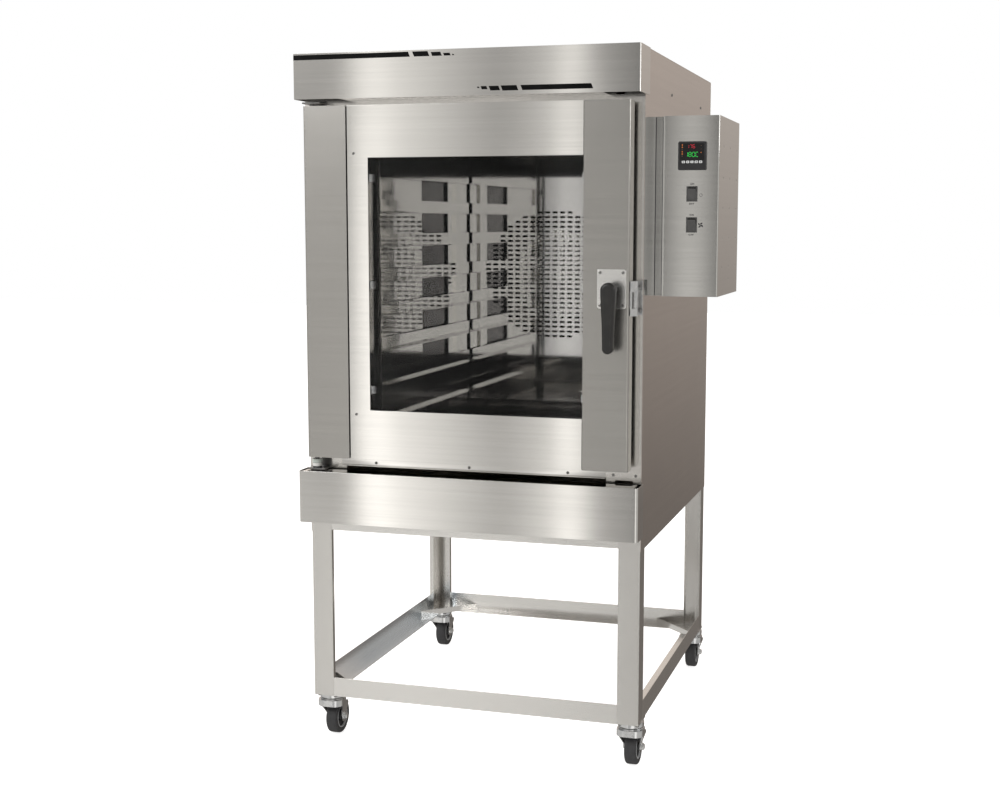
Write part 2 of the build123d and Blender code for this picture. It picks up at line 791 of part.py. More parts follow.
with BuildPart() as handle_stile:
    extrude(stile(door_right, window_right + 1.0, -1), amount=door_high - door_low)
    slab(
        (window_right + 1.0, door_right - 6.0),
        (door_front + 1.0, skin_back),
        (door_low, door_low + door_skin),
    )
    slab(
        (window_right + 1.0, door_right - 6.0),
        (door_front + 1.0, skin_back),
        (door_high - door_skin, door_high),
    )
    slab(
        (door_right - 3.0, door_right + 1.0),
        (hook_front - 2.0, hook_front + hook_thick + 2.0),
        (hook_slot_low, hook_slot_high),
        mode=Mode.SUBTRACT,
    )
    rod((lever_x, 0.0, lever_z), 7.0, 10.0, "y", mode=Mode.SUBTRACT)
finish(handle_stile, "handle_stile")

# The window panel: the wide face left of, above and below the glass
with BuildPart() as window_panel:
    slab((seam_right, window_right), (door_front, door_front + door_skin), (door_low, door_high))
    slab((seam_right, window_right), (door_front, skin_back), (door_low, door_low + door_skin))
    slab((seam_right, window_right), (door_front, skin_back), (door_high - door_skin, door_high))
    slab(
        (window_left, window_right + 5.0),
        (0.0, door_front + door_skin),
        (window_low, window_high),
        mode=Mode.SUBTRACT,
    )
finish(window_panel, "window_panel")

# Two panes: the outer one behind the skins, the inner one at the back of the pan
glass_gap = 1.0
pane_x = (opening_left + glass_gap, opening_right - glass_gap)
pane_z = (opening_low + glass_gap, opening_high - glass_gap)
outer_glass_y = 4.5
inner_glass_y = 39.0
glass_thick = 4.0
with BuildPart() as outer_glass:
    slab(pane_x, (outer_glass_y, outer_glass_y + glass_thick), pane_z)
finish(outer_glass, "outer_glass")
with BuildPart() as inner_glass:
    slab(pane_x, (inner_glass_y, inner_glass_y + glass_thick), pane_z)
finish(inner_glass, "inner_glass")

# Glass clips: small angles on the pan's inner edge that hold both panes
clip_z = (opening_low + 60.0, (opening_low + opening_high) / 2, opening_high - 60.0)
with BuildPart() as glass_clips:
    for x, side in ((opening_left, 1), (opening_right, -1)):
        for z in clip_z:
            high = (z - 10.0, z + 10.0)
            slab((x, x + side * 0.8), (outer_glass_y + glass_thick, inner_glass_y), high)
            for y in (outer_glass_y + glass_thick, inner_glass_y - 1.2):
                slab((x, x + side * 9.0), (y, y + 1.2), high)
            slab((x, x + side * 9.0), (inner_glass_y + glass_thick, inner_glass_y + glass_thick + 1.2), high)
finish(glass_clips, "glass_clips")

# Handle plate, lever and the latch on the same spindle
plate_low = 1260.6
plate_high = 1361.7
plate_left = 841.0
plate_right = 918.0
plate_thick = 3.0
plate_middle = ((plate_left + plate_right) / 2, (plate_low + plate_high) / 2)
plate_screw_x = 30.0
plate_screw_z = 42.0
spindle_radius = 5.0
with BuildPart() as handle_plate:
    with BuildSketch(facing(door_front)) as outline:
        with Locations(plate_middle):
            RectangleRounded(plate_right - plate_left, plate_high - plate_low, 7.0)
            with GridLocations(2 * plate_screw_x, 2 * plate_screw_z, 2, 2):
                Circle(2.2, mode=Mode.SUBTRACT)
        with Locations((lever_x, lever_z)):
            Circle(spindle_radius + 1.0, mode=Mode.SUBTRACT)
    extrude(amount=plate_thick)
    fillet(handle_plate.part.faces().sort_by(Axis.Y)[0].outer_wire().edges(), 1.2)
finish(handle_plate, "handle_plate")

lever_hub = 19.5
lever_end = 14.0
lever_low = 1148.0
lever_back_y = -34.0
lever_thick = 26.0
with BuildPart() as door_lever:
    with BuildSketch(facing(lever_back_y)) as outline:
        with BuildLine():
            ThreePointArc(
                (lever_x - lever_hub, lever_z),
                (lever_x, lever_z + lever_hub),
                (lever_x + lever_hub, lever_z),
            )
            Spline(
                (lever_x + lever_hub, lever_z),
                (lever_x + 16.8, lever_z - 60.0),
                (lever_x + lever_end, lever_low + lever_end),
                tangents=((0, -1), (0, -1)),
            )
            ThreePointArc(
                (lever_x + lever_end, lever_low + lever_end),
                (lever_x, lever_low),
                (lever_x - lever_end, lever_low + lever_end),
            )
            Spline(
                (lever_x - lever_end, lever_low + lever_end),
                (lever_x - 16.8, lever_z - 60.0),
                (lever_x - lever_hub, lever_z),
                tangents=((0, 1), (0, 1)),
            )
        make_face()
    extrude(amount=lever_thick)
    fillet(door_lever.part.faces().sort_by(Axis.Y)[0].edges(), 9.0)
    fillet(door_lever.part.faces().sort_by(Axis.Y)[-1].edges(), 4.0)
    rod((lever_x, lever_back_y - 1.0, lever_z), 13.0, 34.4, "y")
finish(door_lever, "door_lever")

hook_angle = 33.4
hook_reach = 48.4
with BuildPart() as latch_hook:
    rod((lever_x, -0.6, lever_z), spindle_radius, 36.0, "y")
    aim = Location(
        (left + lever_x, front + hook_front, lever_z),
        (0, hook_angle, 0),
    )
    with Locations(aim):
        Box(hook_reach, hook_thick, 10.0, align=(Align.MIN, Align.MIN, Align.CENTER))
        with Locations((hook_reach - 9.0, 0, 0)):
            Box(9.0, hook_thick, 12.0, align=(Align.MIN, Align.MIN, Align.CENTER))
finish(latch_hook, "latch_hook")

# Hinge brackets: a shelf on the frame below and above the door, each with its pivot pin, collar and
# washer
with BuildPart() as hinge_brackets:
    for shelf_low, wall, pin in (
        (799.0, (799.0, 826.0), (799.0, 872.0)),
        (1797.0, (1791.0, 1806.0), (1754.0, 1801.0)),
    ):
        slab((14.0, 66.0), (22.0, frame_y), (shelf_low, shelf_low + 4.0))
        slab((14.0, 66.0), (frame_y - 3.0, frame_y), wall)
        rod((hinge_x, hinge_y, pin[0]), pivot_radius, pin[1] - pin[0], "z")
    rod((hinge_x, hinge_y, 803.0), 9.0, 14.0, "z")
    rod((hinge_x, hinge_y, 817.0), 13.5, 12.0, "z")
finish(hinge_brackets, "hinge_brackets")

# Latch strike: a folded bracket on the frame beside the door, slotted at its side for the hook and
# in front, where the hook can be seen
strike_left = 927.0
strike_right = 946.0
strike_low = 1242.0
strike_high = 1331.0
strike_front = 8.0
with BuildPart() as latch_strike:
    slab((strike_left, strike_left + 3.0), (strike_front, frame_y), (strike_low, strike_high))
    slab((strike_left, strike_right), (strike_front, strike_front + 3.0), (strike_low, strike_high))
    slab((strike_left, strike_right), (frame_y - 3.0, frame_y), (strike_low, strike_high))
    slab(
        (strike_left - 1.0, strike_left + 4.0),
        (hook_front - 6.0, hook_front + 14.0),
        (1259.0, 1304.0),
        mode=Mode.SUBTRACT,
    )
    slab(
        (strike_left + 5.0, strike_right - 7.0),
        (strike_front - 1.0, strike_front + 4.0),
        (strike_low + 19.0, strike_high - 27.0),
        mode=Mode.SUBTRACT,
    )
    for z in (strike_low + 14.0, strike_high - 14.0):
        rod((strike_right - 7.0, frame_y - 4.0, z), 2.6, 5.0, "y", mode=Mode.SUBTRACT)
finish(latch_strike, "latch_strike")

# Control box: a housing bolted to the cabinet's right side, with a shallow wing beside the door
box_wall_right = box_right - skin
cover_front = frame_y - skin
with BuildPart() as control_box:
    slab((box_left, box_wall_right), (frame_y, box_back), (box_low, box_high))
    slab(
        (box_left + skin, box_wall_right - skin),
        (frame_y + skin, box_back - skin),
        (box_low + skin, box_high - skin),
        mode=Mode.SUBTRACT,
    )
    slab((1004.0, 1130.0), (frame_y - 1.0, frame_y + 2.0), (1316.0, 1726.0), mode=Mode.SUBTRACT)
    slab((976.0, 977.2), (frame_y, frame_y + 0.7), (box_low, box_high), mode=Mode.SUBTRACT)
    rod((box_left - 5.0, 240.0, 1500.0), 15.0, 10.0, "x", mode=Mode.SUBTRACT)
finish(control_box, "control_box")

# Control box cover: the front plate that carries the controls, folded back over the box's side
meter_cut = 67.0
rocker_cut_x = 24.0
rocker_cut_z = 34.0
cover_low = box_low - skin
cover_high = box_high + skin
with BuildPart() as control_front:
    with BuildSketch(facing(frame_y)) as sheet:
        with Locations(((cover_left + box_right) / 2, (cover_low + cover_high) / 2)):
            Rectangle(box_right - cover_left, cover_high - cover_low)
        with Locations((controller_x, controller_z)):
            Rectangle(meter_cut, meter_cut, mode=Mode.SUBTRACT)
        for z in rocker_z:
            with Locations((controller_x, z)):
                Rectangle(rocker_cut_x, rocker_cut_z, mode=Mode.SUBTRACT)
    extrude(amount=skin)
    slab((box_wall_right, box_right), (cover_front, box_back), (cover_low, cover_high))
    slab((cover_left, box_right), (cover_front, box_back), (cover_low, box_low))
    slab((cover_left, box_right), (cover_front, box_back), (box_high, cover_high))
    corner = control_front.part.edges().filter_by(Axis.Z).group_by(Axis.X)[-1].sort_by(Axis.Y)[0]
    fillet(corner, 3.0)
finish(control_front, "control_front")

# Controller: a square panel instrument with a pocket for each key
bezel = 72.0
bezel_front = cover_front - 8.0
key_count = 5
key_pitch = 11.0
key_width = 8.0
key_height = 6.0
key_z = controller_z - 15.6
key_play = 0.25
key_places = [controller_x + (n - (key_count - 1) / 2) * key_pitch for n in range(key_count)]
with BuildPart() as controller:
    half = bezel / 2
    slab(
        (controller_x - half, controller_x + half),
        (bezel_front, cover_front),
        (controller_z - half, controller_z + half),
    )
    fillet(controller.part.edges().filter_by(Axis.Y), 4.0)
    fillet(controller.part.faces().sort_by(Axis.Y)[0].edges(), 1.5)
    slab(
        (controller_x - 31.0, controller_x + 31.0),
        (bezel_front - 0.01, bezel_front + 1.0),
        (controller_z - 23.0, controller_z + 31.0),
        mode=Mode.SUBTRACT,
    )
    body = meter_cut / 2 - 0.5
    slab(
        (controller_x - body, controller_x + body),
        (cover_front, cover_front + 80.0),
        (controller_z - body, controller_z + body),
    )
    for x in key_places:
        slab(
            (x - key_width / 2 - key_play, x + key_width / 2 + key_play),
            (bezel_front - 1.0, bezel_front + 6.0),
            (key_z - key_height / 2 - key_play, key_z + key_height / 2 + key_play),
            mode=Mode.SUBTRACT,
        )
finish(controller, "controller")

key_travel = 0.5
for n, x in enumerate(key_places):
    with BuildPart() as key:
        slab(
            (x - key_width / 2, x + key_width / 2),
            (bezel_front - 0.6, bezel_front + 6.0 - key_travel - 0.3),
            (key_z - key_height / 2, key_z + key_height / 2),
        )
        fillet(key.part.edges().filter_by(Axis.Y), 1.2)
    finish(key, f"key_{n + 1}")

# Rocker switches: a frame snapped into the cover, and a paddle that tips on two small trunnions
rocker_frame_front = cover_front - 2.5
rocker_frame_back = 94.0
rocker_frame_x = 14.0
rocker_frame_z = 19.5
rocker_inner_x = 10.7
rocker_inner_z = 16.3
paddle_half_x = 10.3
paddle_half_z = 14.8
rocker_tilt = 9.0
pivot_y = 72.0
trunnion_radius = 1.5
trunnion_reach = 11.5
with BuildPart() as rocker_frames:
    for z in rocker_z:
        slab(
            (controller_x - rocker_frame_x, controller_x + rocker_frame_x),
            (rocker_frame_front, cover_front),
            (z - rocker_frame_z, z + rocker_frame_z),
        )
        slab(
            (controller_x - rocker_cut_x / 2 + 0.3, controller_x + rocker_cut_x / 2 - 0.3),
            (cover_front, rocker_frame_back),
            (z - rocker_cut_z / 2 + 0.2, z + rocker_cut_z / 2 - 0.2),
        )
        slab(
            (controller_x - rocker_inner_x, controller_x + rocker_inner_x),
            (rocker_frame_front, rocker_frame_back - 2.0),
            (z - rocker_inner_z, z + rocker_inner_z),
            mode=Mode.SUBTRACT,
        )
        start = (controller_x - 15.0, pivot_y, z)
        rod(start, trunnion_radius + running_gap, 30.0, "x", mode=Mode.SUBTRACT)
finish(rocker_frames, "rocker_frames")
for n, z in enumerate(rocker_z):
    with BuildPart() as paddle:
        with BuildSketch(sideways(controller_x - paddle_half_x)) as section:
            with BuildLine():
                Polyline(
                    (pivot_y - 7.6, z - paddle_half_z),
                    (pivot_y - 5.6, z),
                    (pivot_y - 7.6, z + paddle_half_z),
                    (pivot_y + 1.0, z + paddle_half_z - 1.5),
                    (pivot_y + 8.0, z + 5.0),
                    (pivot_y + 8.0, z - 5.0),
                    (pivot_y + 1.0, z - paddle_half_z + 1.5),
                    close=True,
                )
            make_face()
        extrude(amount=2 * paddle_half_x)
        rod((controller_x - trunnion_reach, pivot_y, z), trunnion_radius, 2 * trunnion_reach, "x")
    hinge_line = Axis((left + controller_x, front + pivot_y, z), (1, 0, 0))
    tipped = paddle.part.rotate(hinge_line, rocker_tilt)
    tipped.label = f"rocker_{n + 1}"
    export_step(tipped, f"parts/rocker_{n + 1}.step")

# Cable gland in the back panel: hexagon outside, lock nut inside, and a clear bore
with BuildPart() as cable_gland:
    rod((gland_x, 1078.0, gland_z), gland_radius, 40.0, "y")
    with BuildSketch(facing(1098.0)) as hexagon:
        with Locations((gland_x, gland_z)):
            RegularPolygon(16.0, 6)
    extrude(amount=8.0)
    with BuildSketch(facing(back_y - skin)) as hexagon:
        with Locations((gland_x, gland_z)):
            RegularPolygon(15.0, 6)
    extrude(amount=6.0)
    rod((gland_x, 1070.0, gland_z), 7.0, 60.0, "y", mode=Mode.SUBTRACT)
finish(cable_gland, "cable_gland")

# Contactor: the switchgear block on the control box's back wall
with BuildPart() as contactor:
    slab((1030.0, 1075.0), (336.0, box_back - skin), (1380.0, 1460.0))
    slab((1036.0, 1069.0), (322.0, 336.0), (1395.0, 1445.0))
finish(contactor, "contactor")


def pan_head(at, axis, radius=4.0, height=2.2):
    """A pan-head screw's head, flat face first, standing on the sheet that it holds."""
    rod(at, radius, height, axis)


# Screws of the fixed parts: drip strip, front frame, side panels and latch strike
with BuildPart() as screws:
    for x in (200.0, 471.6, 748.6):
        pan_head((x, frame_y - skin - 2.2, 817.5), "y")
    for x in (872.6, 933.0):
        pan_head((x, frame_y - 2.2, 817.5), "y")
    for z in (strike_low + 14.0, strike_high - 14.0):
        pan_head((strike_right - 7.0, frame_y - 5.2, z), "y")
    for y in (426.0, 900.0):
        pan_head((cabinet_width - skin, y, 1832.0), "x")
        pan_head((skin - 2.2, y, 1832.0), "x")
    for x in (60.0, 890.0):
        for z in (700.0, 1270.0, 1860.0):
            pan_head((x, back_y, z), "y")
    for name, x, y in caster_places():
        for dx in (-bolt_x, bolt_x):
            for dy in (-bolt_y, bolt_y):
                rod((x + dx, y + dy, stand_under - 9.0), bolt_head, 5.0, "z")
finish(screws, "screws")

# Screws of the door: two on the hinge stile's seam and four on the handle plate
with BuildPart() as door_screws:
    for z in (961.2, 1662.5):
        pan_head((170.2, door_front - 2.2, z), "y")
    for dx in (-plate_screw_x, plate_screw_x):
        for dz in (-plate_screw_z, plate_screw_z):
            pan_head((plate_middle[0] + dx, -2.2, plate_middle[1] + dz), "y", radius=3.6)
finish(door_screws, "door_screws")
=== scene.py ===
import json
from math import pi, radians

import bpy
from mathutils import Matrix, Vector

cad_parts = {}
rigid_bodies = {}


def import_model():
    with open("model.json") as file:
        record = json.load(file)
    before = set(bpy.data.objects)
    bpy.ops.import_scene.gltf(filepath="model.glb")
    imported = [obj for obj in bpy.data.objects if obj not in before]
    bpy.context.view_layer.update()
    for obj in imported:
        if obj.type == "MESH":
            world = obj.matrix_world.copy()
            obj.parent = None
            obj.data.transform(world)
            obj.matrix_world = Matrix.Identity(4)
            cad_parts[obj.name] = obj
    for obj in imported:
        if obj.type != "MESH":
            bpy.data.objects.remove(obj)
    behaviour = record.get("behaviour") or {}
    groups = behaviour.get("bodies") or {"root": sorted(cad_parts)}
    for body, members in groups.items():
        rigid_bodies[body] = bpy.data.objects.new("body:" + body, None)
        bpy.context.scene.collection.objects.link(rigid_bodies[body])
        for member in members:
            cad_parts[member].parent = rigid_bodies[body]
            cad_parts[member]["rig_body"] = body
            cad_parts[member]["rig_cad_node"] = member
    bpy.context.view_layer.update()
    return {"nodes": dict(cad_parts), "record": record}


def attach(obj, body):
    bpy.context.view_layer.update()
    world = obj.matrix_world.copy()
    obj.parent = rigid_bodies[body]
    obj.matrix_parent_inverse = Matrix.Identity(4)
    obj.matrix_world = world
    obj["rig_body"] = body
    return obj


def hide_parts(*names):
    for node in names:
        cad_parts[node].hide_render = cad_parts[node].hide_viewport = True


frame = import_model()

# The camera stands a little right of the door at eye height, as the photographer's did. Its lens,
# shift, place and turn were fitted until the oven's edges fell where the photo has them.
camera_swing, camera_dip, camera_roll = 16.54, 6.77, 0.08    # degrees
camera_data = bpy.data.cameras.new("camera")
camera_data.sensor_width = 36.0
camera_data.lens = 52.63
camera_data.shift_x = -0.02098
camera_data.shift_y = -0.00341
camera_data.clip_end = 60.0
camera = bpy.data.objects.new("camera", camera_data)
bpy.context.scene.collection.objects.link(camera)
camera_turn = (
    Matrix.Rotation(radians(camera_swing), 4, "Z")
    @ Matrix.Rotation(radians(90.0 - camera_dip), 4, "X")
    @ Matrix.Rotation(radians(camera_roll), 4, "Z")
)
camera.matrix_world = Matrix.Translation((1.1541, -4.1963, 1.4786)) @ camera_turn
bpy.context.scene.camera = camera
bpy.context.scene.view_settings.view_transform = "Standard"


class Wire:
    """A shader socket, so that the sums of a finish are written as plain arithmetic."""

    def __init__(self, tree, socket=None):
        self.tree = tree
        self.socket = socket

    def node(self, kind, settings=None, inputs=None, out=0):
        """Adds a node: its settings first, then the values or links of its sockets."""
        made = self.tree.nodes.new("ShaderNode" + kind)
        for name, value in (settings or {}).items():
            setattr(made, name, value)
        for name, value in (inputs or {}).items():
            if isinstance(value, Wire):
                self.tree.links.new(value.socket, made.inputs[name])
            else:
                made.inputs[name].default_value = value
        return Wire(self.tree, made.outputs[out])

    def sum(self, operation, first, second=0.0):
        return self.node("Math", {"operation": operation}, {0: first, 1: second})

    def __add__(self, other):
        return self.sum("ADD", self, other)

    __radd__ = __add__

    def __sub__(self, other):
        return self.sum("SUBTRACT", self, other)

    def __rsub__(self, other):
        return self.sum("SUBTRACT", other, self)

    def __mul__(self, other):
        return self.sum("MULTIPLY", self, other)

    __rmul__ = __mul__

    def rise(self, low, high):
        """Goes smoothly from 0 to 1 as this value goes from low to high."""
        smooth = {"interpolation_type": "SMOOTHSTEP"}
        return self.node("MapRange", smooth, {0: self, 1: low, 2: high})

    def ramp(self, low, high):
        """Goes evenly from 0 to 1 as this value goes from low to high."""
        return self.node("MapRange", {}, {0: self, 1: low, 2: high})

    def mixed(self, first, second):
        """A colour that goes from the first to the second as this value goes from 0 to 1."""
        first, second = (
            colour if isinstance(colour, Wire) else (*colour, 1.0) for colour in (first, second)
        )
        return self.node("Mix", {"data_type": "RGBA"}, {0: self, 6: first, 7: second}, out=2)

    def noise(self, scale, detail=2.0):
        sockets = {"Vector": self, "Scale": scale, "Detail": detail}
        return self.node("TexNoise", inputs=sockets, out="Fac")

    def stretched(self, x, y, z):
        return self.node("Mapping", inputs={"Vector": self, "Scale": (x, y, z)})

    def to(self, socket):
        self.tree.links.new(self.socket, socket)


# The studio: soft light all round, with two tall white panels to the left of the camera and a
# narrow one beside it, which show in the steel as upright bands. The camera sees plain white.
world = bpy.data.worlds.new("studio")
bpy.context.scene.world = world
world.use_nodes = True
world.node_tree.nodes.clear()
sky = Wire(world.node_tree)
direction = sky.node("TexCoord", out="Generated")
east, north, up = (sky.node("SeparateXYZ", inputs={0: direction}, out=n) for n in range(3))
bearing = sky.sum("ARCTAN2", east, north * -1.0) * (180.0 / pi)
left_panel = (
    bearing.rise(-23.25, -22.8)
    - bearing.rise(-22.1, -21.3) * 0.40
    - bearing.ramp(-21.3, -17.6) * 0.60
)
right_panel = (
    bearing.ramp(-17.2, -15.4) * 0.33
    + bearing.rise(-15.4, -14.9) * 0.67
    - bearing.rise(-14.6, -13.4)
)
strip = sky.sum("ABSOLUTE", bearing + 10.0).rise(1.15, 0.2)
side_panel = bearing.rise(9.0, 15.0) - bearing.rise(34.0, 42.0)
dim_corner = (
    bearing.rise(-13.6, -12.6) * 0.10
    + bearing.rise(-12.2, -11.5) * 0.25
    - bearing.rise(-8.8, -6.5) * 0.35
)
far_side = bearing.rise(110.0, 150.0) + bearing.rise(-110.0, -150.0)
walls = 0.49 + bearing.rise(-24.0, -26.0) * 0.10 - dim_corner - far_side * 0.29
level = walls + left_panel * 0.98 + right_panel * 0.86 + strip * 0.74 + side_panel * 0.6
from_above = (
    up.ramp(0.24, -0.26) * (0.42 - far_side * 0.42)
    + (0.78 - far_side * 0.78)
    + far_side * (2.7 - up.ramp(0.13, -0.19) * 1.8)
)
mirrored = sky.node("LightPath", out="Is Glossy Ray")
seen_plain = sky.sum(
    "MAXIMUM",
    sky.node("LightPath", out="Is Camera Ray"),
    sky.node("LightPath", out="Is Transmission Ray"),
)
soft_light = 0.62
lit_oven = level * from_above * mirrored + (1.0 - mirrored) * soft_light
strength = lit_oven * (1.0 - seen_plain) + seen_plain
warmth = far_side.mixed((1.0, 0.985, 0.955), (1.0, 0.90, 0.82))
tint = seen_plain.mixed(warmth, (1.0, 1.0, 1.0))
backdrop = sky.node("Background", inputs={"Color": tint, "Strength": strength})
output = world.node_tree.nodes.new("ShaderNodeOutputWorld")
backdrop.to(output.inputs["Surface"])

for name, spot, aim, size, power in (
    ("key_lamp", (-2.6, -3.4, 3.6), (0.0, 0.0, 1.0), 2.2, 110.0),
    ("side_lamp", (4.2, -0.6, 2.6), (0.3, 0.0, 1.0), 1.6, 40.0),
):
    lamp = bpy.data.lights.new(name, "AREA")
    lamp.size = size
    lamp.energy = power
    holder = bpy.data.objects.new(name, lamp)
    bpy.context.scene.collection.objects.link(holder)
    away = Vector(spot) - Vector(aim)
    aimed = away.to_track_quat("Z", "Y").to_matrix().to_4x4()
    holder.matrix_world = Matrix.Translation(spot) @ aimed


def deselect():
    """Nothing selected, so that the next operator acts only on what it adds."""
    if bpy.context.object and bpy.context.object.mode != "OBJECT":
        bpy.ops.object.mode_set(mode="OBJECT")
    bpy.ops.object.select_all(action="DESELECT")


# The floor: one wide white sheet that keeps the oven's soft shadow. Steel looks past it into the
# studio, and the camera sees it as white as the backdrop.
deselect()
bpy.ops.mesh.primitive_plane_add(size=40.0, location=(0.0, 0.0, 0.0))
floor = bpy.context.object
floor.name = "floor"
white_floor = bpy.data.materials.new("white_floor")
white_floor.use_nodes = True
floor_wire = Wire(white_floor.node_tree)
floor_shader = white_floor.node_tree.nodes["Principled BSDF"]
floor_shader.inputs["Base Color"].default_value = (0.80, 0.80, 0.80, 1.0)
floor_shader.inputs["Roughness"].default_value = 0.9
floor_shader.inputs["Specular IOR Level"].default_value = 0.0
floor_shader.inputs["Emission Color"].default_value = (1.0, 1.0, 1.0, 1.0)
seen_white = floor_wire.node("LightPath", out="Is Camera Ray") * 0.8
seen_white.to(floor_shader.inputs["Emission Strength"])
clear = floor_wire.node("BsdfTransparent")
in_a_mirror = floor_wire.node("LightPath", out="Is Glossy Ray")
under = floor_wire.node("MixShader", inputs={0: in_a_mirror, 2: clear})
floor_wire.tree.links.new(floor_shader.outputs[0], under.socket.node.inputs[1])
under.to(white_floor.node_tree.nodes["Material Output"].inputs["Surface"])
floor.data.materials.append(white_floor)


# The stand: lipped angle legs and angle rails folded from 2 mm stainless sheet, ground along their
# length and welded, with a triangular gusset over each caster. The grinder eased its corners. The
# inside of the left lower rail has a painted reflection: white near the front, cool blue-grey
# behind.
def finish_of(name, colour, metallic, roughness, **more):
    """A material with one shader, the place on the piece that its pattern reads, and the shader."""
    made = bpy.data.materials.new(name)
    made.use_nodes = True
    shader = made.node_tree.nodes["Principled BSDF"]
    shader.inputs["Base Color"].default_value = (*colour, 1.0)
    shader.inputs["Metallic"].default_value = metallic
    shader.inputs["Roughness"].default_value = roughness
    for socket, value in more.items():
        shader.inputs[socket.replace("_", " ")].default_value = value
    return made, Wire(made.node_tree).node("TexCoord", out="Object"), shader


def ground_steel(name, colour, roughness, scratches=0.10, depth=0.12, grain=(3.0, 3.0, 900.0)):
    """Stainless sheet ground one way: fine long scratches, broader streaks and faint smudges."""
    made, place, shader = finish_of(name, colour, 1.0, roughness)
    fine = place.stretched(*grain).noise(1.0, 3.0)
    broad = place.stretched(*(step * (0.4 if step < 10.0 else 0.13) for step in grain)).noise(1.0)
    smudges = place.noise(5.0, 3.0)
    dull = tuple(part * 0.97 for part in colour)
    clean = tuple(min(part * 1.02, 1.0) for part in colour)
    (broad * 0.6 + smudges * 0.4).rise(0.3, 0.7).mixed(dull, clean).to(shader.inputs["Base Color"])
    rough = fine * scratches + smudges * 0.05 + (roughness - scratches * 0.5 - 0.025)
    rough.to(shader.inputs["Roughness"])
    bump = fine.node("Bump", inputs={"Height": fine, "Strength": depth, "Distance": 0.0004})
    bump.to(shader.inputs["Normal"])
    return made


slot_of = {row["node"]: row["material_slot"] for row in frame["record"]["subparts"]}


def finished(piece, finish, body, slot, *stands_for, edge=0.0, angle=35.0, outward=True):
    """Breaks a piece's sharp edges, shades it, gives it its finish and says what it rides on."""
    deselect()
    piece.select_set(True)
    bpy.context.view_layer.objects.active = piece
    bpy.ops.object.transform_apply(location=True, rotation=True, scale=True)
    if outward:
        bpy.ops.object.mode_set(mode="EDIT")
        bpy.ops.mesh.select_all(action="SELECT")
        bpy.ops.mesh.normals_make_consistent(inside=False)
        bpy.ops.object.mode_set(mode="OBJECT")
    if edge:
        broken = piece.modifiers.new("broken_edge", "BEVEL")
        broken.width = edge / 1000.0
        broken.segments = 2
        broken.limit_method = "ANGLE"
        broken.angle_limit = radians(angle)
        bpy.ops.object.modifier_apply(modifier=broken.name)
    bpy.ops.object.shade_smooth_by_angle(angle=radians(angle))
    level_faces = piece.modifiers.new("level_faces", "WEIGHTED_NORMAL")
    level_faces.keep_sharp = True
    bpy.ops.object.modifier_apply(modifier=level_faces.name)
    piece.data.materials.clear()
    piece.data.materials.append(finish)
    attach(piece, body)
    if stands_for:
        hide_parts(*stands_for)


def eased(finish, *nodes, edge=0.5, angle=35.0):
    """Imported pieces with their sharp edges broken, each standing for its own node."""
    for node in nodes:
        source = frame["nodes"][node]
        piece = source.copy()
        piece.data = source.data.copy()
        piece.name = node + "_eased"
        del piece["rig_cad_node"]
        bpy.context.scene.collection.objects.link(piece)
        deselect()
        piece.select_set(True)
        bpy.context.view_layer.objects.active = piece
        bpy.ops.object.mode_set(mode="EDIT")
        bpy.ops.mesh.select_all(action="SELECT")
        bpy.ops.mesh.remove_doubles(threshold=0.00001)
        bpy.ops.mesh.dissolve_limited(angle_limit=radians(0.3))
        bpy.ops.object.mode_set(mode="OBJECT")
        finished(
            piece, finish, source["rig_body"], slot_of[node], node,
            edge=edge, angle=angle, outward=False,
        )


def dress(finish, *nodes):
    """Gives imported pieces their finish."""
    for node in nodes:
        frame["nodes"][node].data.materials.clear()
        frame["nodes"][node].data.materials.append(finish)


def second_tone(finish, *axes):
    """A ground finish's colour so far, the place on the piece along each axis, and its socket."""
    socket = finish.node_tree.nodes["Principled BSDF"].inputs["Base Color"]
    tone = Wire(finish.node_tree, socket.links[0].from_socket)
    place = tone.node("TexCoord", out="Object")
    spots = (place.node("SeparateXYZ", inputs={0: place}, out=axis) for axis in axes)
    return tone, *spots, socket


stand_colour = (0.74, 0.725, 0.70)
stand_steel = ground_steel("stand_steel", stand_colour, 0.24, 0.06, 0.05)
along_the_leg = (900.0, 900.0, 3.0)
upright_steel = ground_steel("leg_steel", (0.66, 0.645, 0.62), 0.24, 0.06, 0.05, along_the_leg)
eased(upright_steel, "stand_legs")
eased(stand_steel, "stand_top_frame", "corner_gussets")
rail_finish = ground_steel("rail_finish", stand_colour, 0.24, 0.06, 0.05)
ground_tone, rail_x, rail_y, rail_socket = second_tone(rail_finish, "X", "Y")
# Painted reflection on the inside of the left lower rail: white at the front, cool blue-grey
# further back.
painted_reflection_tone = rail_y.ramp(-0.10, -0.44).mixed((0.74, 0.79, 0.83), (1.0, 1.0, 1.0))
inside = rail_y.rise(-0.446, -0.441) * (rail_x.rise(-0.5668, -0.5660) - rail_x.rise(-0.50, -0.48))
inside.mixed(ground_tone, painted_reflection_tone).to(rail_socket)
eased(rail_finish, "stand_bottom_frame")


# The casters: a zinc-plated top plate and ball cup, a pressed fork on its king pin, and a wheel
# with a grey rubber tread moulded round a black nylon hub, on a plain bolt with a nut.
middle_x, middle_y = 570.0, 541.0
origin = (middle_x, middle_y, 0.0)


def at(x, y, z):
    """A place in metres, from millimetres off the cabinet's left side, the header and the floor."""
    return Vector((x - middle_x, y - middle_y, z)) / 1000.0


ways = {"x": (0.0, pi / 2, 0.0), "y": (-pi / 2, 0.0, 0.0), "z": (0.0, 0.0, 0.0)}
along = {
    "x": Vector((1.0, 0.0, 0.0)),
    "y": Vector((0.0, 1.0, 0.0)),
    "z": Vector((0.0, 0.0, 1.0)),
}


